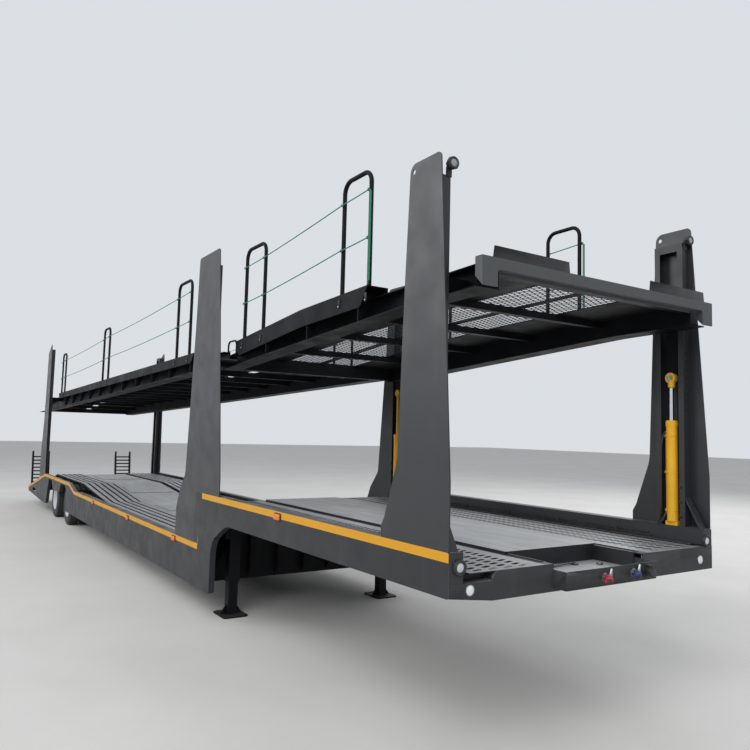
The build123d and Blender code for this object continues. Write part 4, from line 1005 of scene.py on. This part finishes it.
class TRAILER_OT_couplings(bpy.types.Operator):
    """Air line couplings and lamp socket on the front beam"""

    bl_idname = "trailer.couplings"
    bl_label = "Line couplings"

    def execute(self, context):
        face = 0.110
        metal, seals = [], []
        for colour, y, z in (("red", -0.090, 1.008), ("blue", 0.190, 1.012)):
            x = face + 0.020
            metal += [stub(face, face + 0.008, y, z, 0.032, 6, 0.002),
                      stub(face + 0.008, face + 0.030, y, z, 0.015, 24, 0.002),
                      turned(spot(x, y + 0.030, z + 0.006), spot(x, y + 0.044, z + 0.052), 0.012, 8, 0.002,
                             0.008),
                      turned(spot(x, y, z), spot(x, y + 0.036, z + 0.014), 0.011, 16, 0.002)]
            front = spot(face + 0.046, y - 0.018, z - 0.010)
            tilt = Vector((0.55, -0.45, -0.70)).normalized()
            ears = (((-0.010, -0.036, -0.010), (0.006, -0.018, 0.008)),
                    ((-0.012, 0.016, -0.006), (0.004, 0.034, 0.008)))
            body = [turned(spot(face + 0.016, y, z), spot(face + 0.052, y - 0.002, z - 0.004), 0.024, 24,
                           0.006, 0.020),
                    turned(front - tilt * 0.012, front + tilt * 0.008, 0.028, 32, 0.004),
                    *[block(front + Vector(low), front + Vector(high), 0.004) for low, high in ears]]
            seals.append(ring(front + tilt * 0.009, tilt, 0.015, 0.004, 28))
            finished(body, colour + "_coupling", colour + "_cap")
        y, z = 0.325, 1.012
        socket = [stub(face, face + 0.010, y, z, 0.042, 24, 0.003),
                  stub(face + 0.008, face + 0.046, y, z, 0.032, 32, 0.004, 0.034),
                  turned(spot(face + 0.046, y, z), spot(face + 0.053, y, z + 0.004), 0.035, 32, 0.003),
                  slab((face + 0.010, face + 0.052), span(y, 0.014), (z + 0.030, z + 0.044), 0.004),
                  pin(face + 0.040, y - 0.020, y + 0.020, z + 0.038, 0.006, 16, 0.001)]
        finished(socket, "lamp_socket", "black", replaces="line_couplings")
        finished(metal, "coupling_fittings", "zinc", replaces="line_couplings")
        finished(seals, "coupling_seals", "hose")
        return {"FINISHED"}


class TRAILER_OT_ropes(bpy.types.Operator):
    """Guard ropes drawn tight through ring eyes on the hoops"""

    bl_idname = "trailer.ropes"
    bl_label = "Guard ropes"

    def execute(self, context):
        radius = context.scene.trailer_sizes.rope
        y = HOOP_Y - HOOP_R - 0.009
        for body, hoops in HOOPS.items():
            ropes, eyes = [], []
            for drop in (0.155, 0.505):
                stations = [(x, top - drop - 0.02 * i) for front, rear, top in hoops
                            for i, x in enumerate((front, rear))]
                for x, z in stations:
                    eyes += both([ring(spot(x, y, z), FORWARD, 0.009, 0.0028, 20)])
                for (x0, z0), (x1, z1) in zip(stations, stations[1:]):
                    sag = 0.004 * abs(x1 - x0)
                    rope = pipe([spot(x0 + (x1 - x0) * t, y, z0 + (z1 - z0) * t - sag * 4 * t * (1 - t))
                                 for t in (0.0, 0.25, 0.5, 0.75, 1.0)], radius)
                    # Far side: the front section has ropes in its first hoop only
                    near_only = body == "upper_front" and x0 != hoops[0][0]
                    ropes += [rope] if near_only else both([rope])
                x, z = stations[0]
                ropes += both([ring(spot(x + 0.004, y - 0.002, z), (0.3, 1, 0), 0.009, 0.0045, 16)])
            if body == "upper_front":
                x, top = hoops[0][0] + 0.020, hoops[0][2] - 0.155
                for aside in (0.0, 0.013):
                    heights = (top - aside, top - 0.2, top - 0.35, top - 0.5, 2.905 + 2 * aside)
                    ropes += both([pipe([spot(x + aside, y + 0.002, z) for z in heights], radius)])
            word = body.split("_")[1]
            finished(ropes, word + "_guard_ropes", "rope", body)
            finished(eyes, word + "_rope_eyes", "zinc", body)
        return {"FINISHED"}


class TRAILER_OT_sleeves(bpy.types.Operator):
    """Straps that hold the hoops' feet to the walkway lips, and the bolts through them"""

    bl_idname = "trailer.sleeves"
    bl_label = "Hoop straps"

    def execute(self, context):
        y = -1.130
        # The rear walkway's top and station where it starts, and its fall to the tail
        top_z, first_x, rear_fall = 2.690, -4.06, (2.690 - 2.505) / (14.0 - 4.06)
        for body, hoops in HOOPS.items():
            straps, bolts = [], []
            for x, top in [(x, top) for front, rear, top in hoops for x in (front, rear)]:
                if body == "upper_front":
                    z = 2.818 if top > 3.7 else 2.711 if x > -3.0 else 2.675
                else:
                    z = top_z - (first_x - x) * rear_fall - 0.012
                straps += [slab(span(x, 0.012), (y - 0.006, y + 0.001), (z - 0.022, z + 0.032), 0.0015),
                           pin(x, y - 0.006, y + 0.001, z - 0.022, 0.012, 20, 0.001)]
                bolts.append(pin(x, y - 0.012, y - 0.005, z - 0.020, 0.007, 6, 0.001))
            word = body.split("_")[1]
            finished(both(straps), word + "_hoop_straps", "strap", body)
            finished(both(bolts), word + "_hoop_bolts", "zinc", body)
        return {"FINISHED"}


class TRAILER_OT_wheel_nuts(bpy.types.Operator):
    """Wheel nuts with their studs, and hub caps with their bolts, on all four wheels"""

    bl_idname = "trailer.wheel_nuts"
    bl_label = "Wheel nuts"

    def execute(self, context):
        count = context.scene.trailer_sizes.nuts
        # Number, first turn in steps, circle's radius, outer face's y; length, radius, sides and bevel
        circles = ((count, 0.0, 0.133, -0.974, ((0.024, 0.0165, 6, 0.002), (0.034, 0.0095, 12, 0.0015))),
                   (8, 0.5, 0.083, -1.086, ((0.011, 0.008, 6, 0.0012),)))
        for word, x in zip(("front", "rear"), AXLES):
            parts = []
            for number, first, circle, y, bolts in circles:
                for i in range(number):
                    angle = 2 * math.pi * (i + first) / number
                    foot = spot(x, y, AXLE_Z) + circle * Vector((math.cos(angle), 0, math.sin(angle)))
                    parts += [turned(foot, foot - Vector((0, length, 0)), *shape)
                              for length, *shape in bolts]
            parts.append(pin(x, -1.108, -1.124, AXLE_Z, 0.040, 6, 0.003))
            nuts = joined(parts)
            for side, piece in zip(("right", "left"), both([nuts])):
                finished([piece], word + "_wheel_nuts_" + side, "zinc", word + "_wheels_" + side)
        return {"FINISHED"}


class TRAILER_OT_fittings(bpy.types.Operator):
    """Pins, pipes and clamp bands of the lift cylinders, and pipes along the gooseneck"""

    bl_idname = "trailer.fittings"
    bl_label = "Cylinder fittings and pipes"

    def execute(self, context):
        x, y = CYLINDER
        heights, eye = (1.330, 1.620, 1.900), 2.350
        bands = [ring(spot(x, y, z), (0, 0, 1), 0.0425, 0.003, 36) for z in heights]
        bands += [slab((x - 0.060, x - 0.036), span(y, 0.010), span(z, 0.010), 0.002)
                  for z in heights]
        finished(both(bands), "barrel_bands", "yellow")
        pins = [pin(x, y - 0.034, y + 0.034, eye, 0.016, 20, 0.002),
                pin(x, y + 0.020, y + 0.028, eye, 0.026, 6, 0.002)]
        finished(both(pins), "rod_pins", "zinc", "front_rods")
        # Bends of the pipes: steps back and aside from the barrel's axis, and the height
        runs = (((-0.052, 0.012, 1.310), (-0.054, 0.024, 1.290), (-0.058, 0.034, 1.262),
                 (-0.070, 0.040, 1.240), (-0.095, 0.042, 1.232)),
                ((-0.052, 0.012, 1.930), (-0.062, 0.030, 1.900), (-0.070, 0.040, 1.800),
                 (-0.070, 0.042, 1.500), (-0.078, 0.042, 1.300), (-0.100, 0.044, 1.236)))
        pipes = [pipe([spot(x + dx, y + dy, z) for dx, dy, z in run], 0.007) for run in runs]
        finished(both(pipes), "cylinder_pipes", "hose")
        y, lines = -1.1425, []
        for end, z in ((-0.42, 1.128), (-0.45, 1.146)):
            lines.append(pipe([spot(x, y, z) for x in (end, -0.52, -1.6, -2.8, -4.0, -4.060)], 0.0055))
            lines += [stub(x, x + 0.030, y, z, 0.0085, 6, 0.001) for x in (-1.55, -2.75)]
        clips = [slab(span(x, 0.010), (-1.150, -1.134), (1.117, 1.158), 0.002)
                 for x in [-0.75 - 0.62 * i for i in range(6)]]
        finished(both(lines), "side_pipes", "hose")
        finished(both(clips), "pipe_clips", "black")
        return {"FINISHED"}


class TRAILER_OT_post_details(bpy.types.Operator):
    """Pin holes of the post channels as black discs of painted shade, their bolts, and small fittings in
    the nose pit
    """

    bl_idname = "trailer.post_details"
    bl_label = "Post and pit details"

    def execute(self, context):
        face, y = POSTS[0] + 0.120, -1.200
        heights = [2.10 + 0.062 * i for i in range(12)]
        # Painted shade: thin black discs stand for the dark inside the pin holes
        holes = [stub(face - 0.001, face + 0.0012, y, z, 0.011, 16, 0.0004) for z in heights]
        rims = [ring(spot(face, y, z), FORWARD, 0.0125, 0.0016, 20, 6) for z in heights]
        finished(both(holes), "pin_hole_shades", "black")
        finished(both(rims), "pin_hole_rims", "inner")
        feet = zip(POSTS, (1.232, 1.232, 0.92))
        bolts = [pin(x + dx, -1.166, -1.150, foot + 0.06 + 0.11 * i, 0.010, 6, 0.0015)
                 for x, foot in feet for dx in (-0.085, 0.085) for i in range(3)]
        finished(both(bolts), "post_bolts", "post")
        pit = [slab((-0.335, -0.295), (0.11, 0.15), (0.996, 1.008), 0.003),
               turned(spot(-0.315, 0.13, 1.006), spot(-0.315, 0.13, 1.018), 0.010, 6, 0.002),
               slab((-0.200, -0.120), (-0.30, -0.24), (0.996, 1.012), 0.004),
               turned(spot(-0.240, 0.30, 0.996), spot(-0.240, 0.30, 1.010), 0.022, 6, 0.002),
               pipe([spot(-0.315, 0.10, 1.012), spot(-0.315, -0.05, 1.006), spot(-0.280, -0.18, 1.004),
                     spot(-0.170, -0.26, 1.018)], 0.006)]
        finished(pit, "pit_fittings", "dull")
        return {"FINISHED"}


class TRAILER_OT_stage(bpy.types.Operator):
    """Adds the floor, the lamps and the camera"""

    bl_idname = "trailer.stage"
    bl_label = "Stage"

    def execute(self, context):
        scene = context.scene
        settings = scene.trailer_stage
        start()
        bpy.ops.mesh.primitive_plane_add(size=160, location=(0, 0, 0))
        floor = context.active_object
        floor.name = "floor"
        paint = Surface("floor_paint")
        speckle = paint.noise(0.6, 8.0).ramp(0.3, 0.7)
        base = paint.blend(speckle, (0.58, 0.57, 0.55), (0.64, 0.63, 0.61))
        floor.data.materials.append(paint.wired(base, 0.9))
        scene.world = bpy.data.worlds.new("sky")
        scene.world.use_nodes = True
        sky = scene.world.node_tree
        back = sky.nodes["Background"]
        path = sky.nodes.new("ShaderNodeLightPath")
        straight, mirrored = [Value(sky, path.outputs[key]) for key in ("Is Camera Ray", "Is Glossy Ray")]
        seen = straight.through("MAXIMUM", mirrored)
        feed(sky, seen.ramp(0.0, 1.0, settings.sky, 0.78), back.inputs["Strength"])
        back.inputs["Color"].default_value = (0.91, 0.95, 1.0, 1.0)
        lamps = (  # name, place, size, watts
            ("key_lamp", (14.0, -12.0, 13.0), 12.0, 2000.0),
            ("fill_lamp", (-6.0, -16.0, 11.0), 14.0, 1500.0),
            ("back_lamp", (2.0, 14.0, 12.0), 14.0, 1300.0),
        )
        for name, where, size, watts in lamps:
            bpy.ops.object.light_add(type="AREA", location=where)
            lamp = context.active_object
            lamp.name = name
            lamp.data.size = size
            lamp.data.energy = watts
            aim = Vector((0.0, 0.0, 1.5)) - Vector(where)
            lamp.rotation_euler = aim.to_track_quat("-Z", "Y").to_euler()
        side = Vector((math.sin(settings.azimuth), -math.cos(settings.azimuth), 0.0))
        level = Vector((math.cos(settings.azimuth), math.sin(settings.azimuth), 0.0))
        ahead = level * math.cos(settings.pitch) + Vector((0, 0, math.sin(settings.pitch)))
        upward = side.cross(ahead)
        turn_c, turn_s = math.cos(settings.roll), math.sin(settings.roll)
        right = side * turn_c + upward * turn_s
        top = upward * turn_c - side * turn_s
        bpy.ops.object.camera_add(location=settings.eye)
        camera = context.active_object
        camera.name = "photo_camera"
        camera.data.lens = settings.lens
        camera.data.sensor_width = 36.0
        camera.data.clip_end = 300.0
        facing = Matrix((right, top, -ahead)).transposed().to_4x4()
        camera.matrix_world = Matrix.Translation(settings.eye) @ facing
        scene.camera = camera
        scene.view_settings.view_transform = "Standard"
        return {"FINISHED"}


class TRAILER_PT_panel(bpy.types.Panel):
    """Sidebar panel with the trailer's steps"""

    bl_label = "Car carrier"
    bl_idname = "TRAILER_PT_panel"
    bl_space_type = "VIEW_3D"
    bl_region_type = "UI"
    bl_category = "Car carrier"

    def draw(self, context):
        for step in STEPS:
            self.layout.operator(step.bl_idname)


STEPS = (TRAILER_OT_stage, TRAILER_OT_paint, TRAILER_OT_nose_tracks, TRAILER_OT_nose_beam,
         TRAILER_OT_deck_mesh, TRAILER_OT_cross_members, TRAILER_OT_rear_planks, TRAILER_OT_lamps,
         TRAILER_OT_couplings, TRAILER_OT_ropes, TRAILER_OT_sleeves, TRAILER_OT_wheel_nuts,
         TRAILER_OT_fittings, TRAILER_OT_post_details)
CLASSES = (TrailerPaints, TrailerSizes, TrailerStage, *STEPS, TRAILER_PT_panel)


def register():
    """Registers the classes and the scene's settings."""
    for cls in CLASSES:
        bpy.utils.register_class(cls)
    bpy.types.Scene.trailer_paints = PointerProperty(type=TrailerPaints)
    bpy.types.Scene.trailer_sizes = PointerProperty(type=TrailerSizes)
    bpy.types.Scene.trailer_stage = PointerProperty(type=TrailerStage)


def unregister():
    """Takes the classes and the settings away again."""
    del bpy.types.Scene.trailer_stage
    del bpy.types.Scene.trailer_sizes
    del bpy.types.Scene.trailer_paints
    for cls in reversed(CLASSES):
        bpy.utils.unregister_class(cls)


def main():
    """Dresses the trailer."""
    register()
    bpy.ops.trailer.stage()
    bpy.ops.trailer.paint()
    bpy.ops.trailer.nose_tracks()
    bpy.ops.trailer.nose_beam()
    bpy.ops.trailer.deck_mesh()
    bpy.ops.trailer.cross_members()
    bpy.ops.trailer.rear_planks()
    bpy.ops.trailer.lamps()
    bpy.ops.trailer.couplings()
    bpy.ops.trailer.ropes()
    bpy.ops.trailer.sleeves()
    bpy.ops.trailer.wheel_nuts()
    bpy.ops.trailer.fittings()
    bpy.ops.trailer.post_details()


if __name__ == "__main__":
    main()
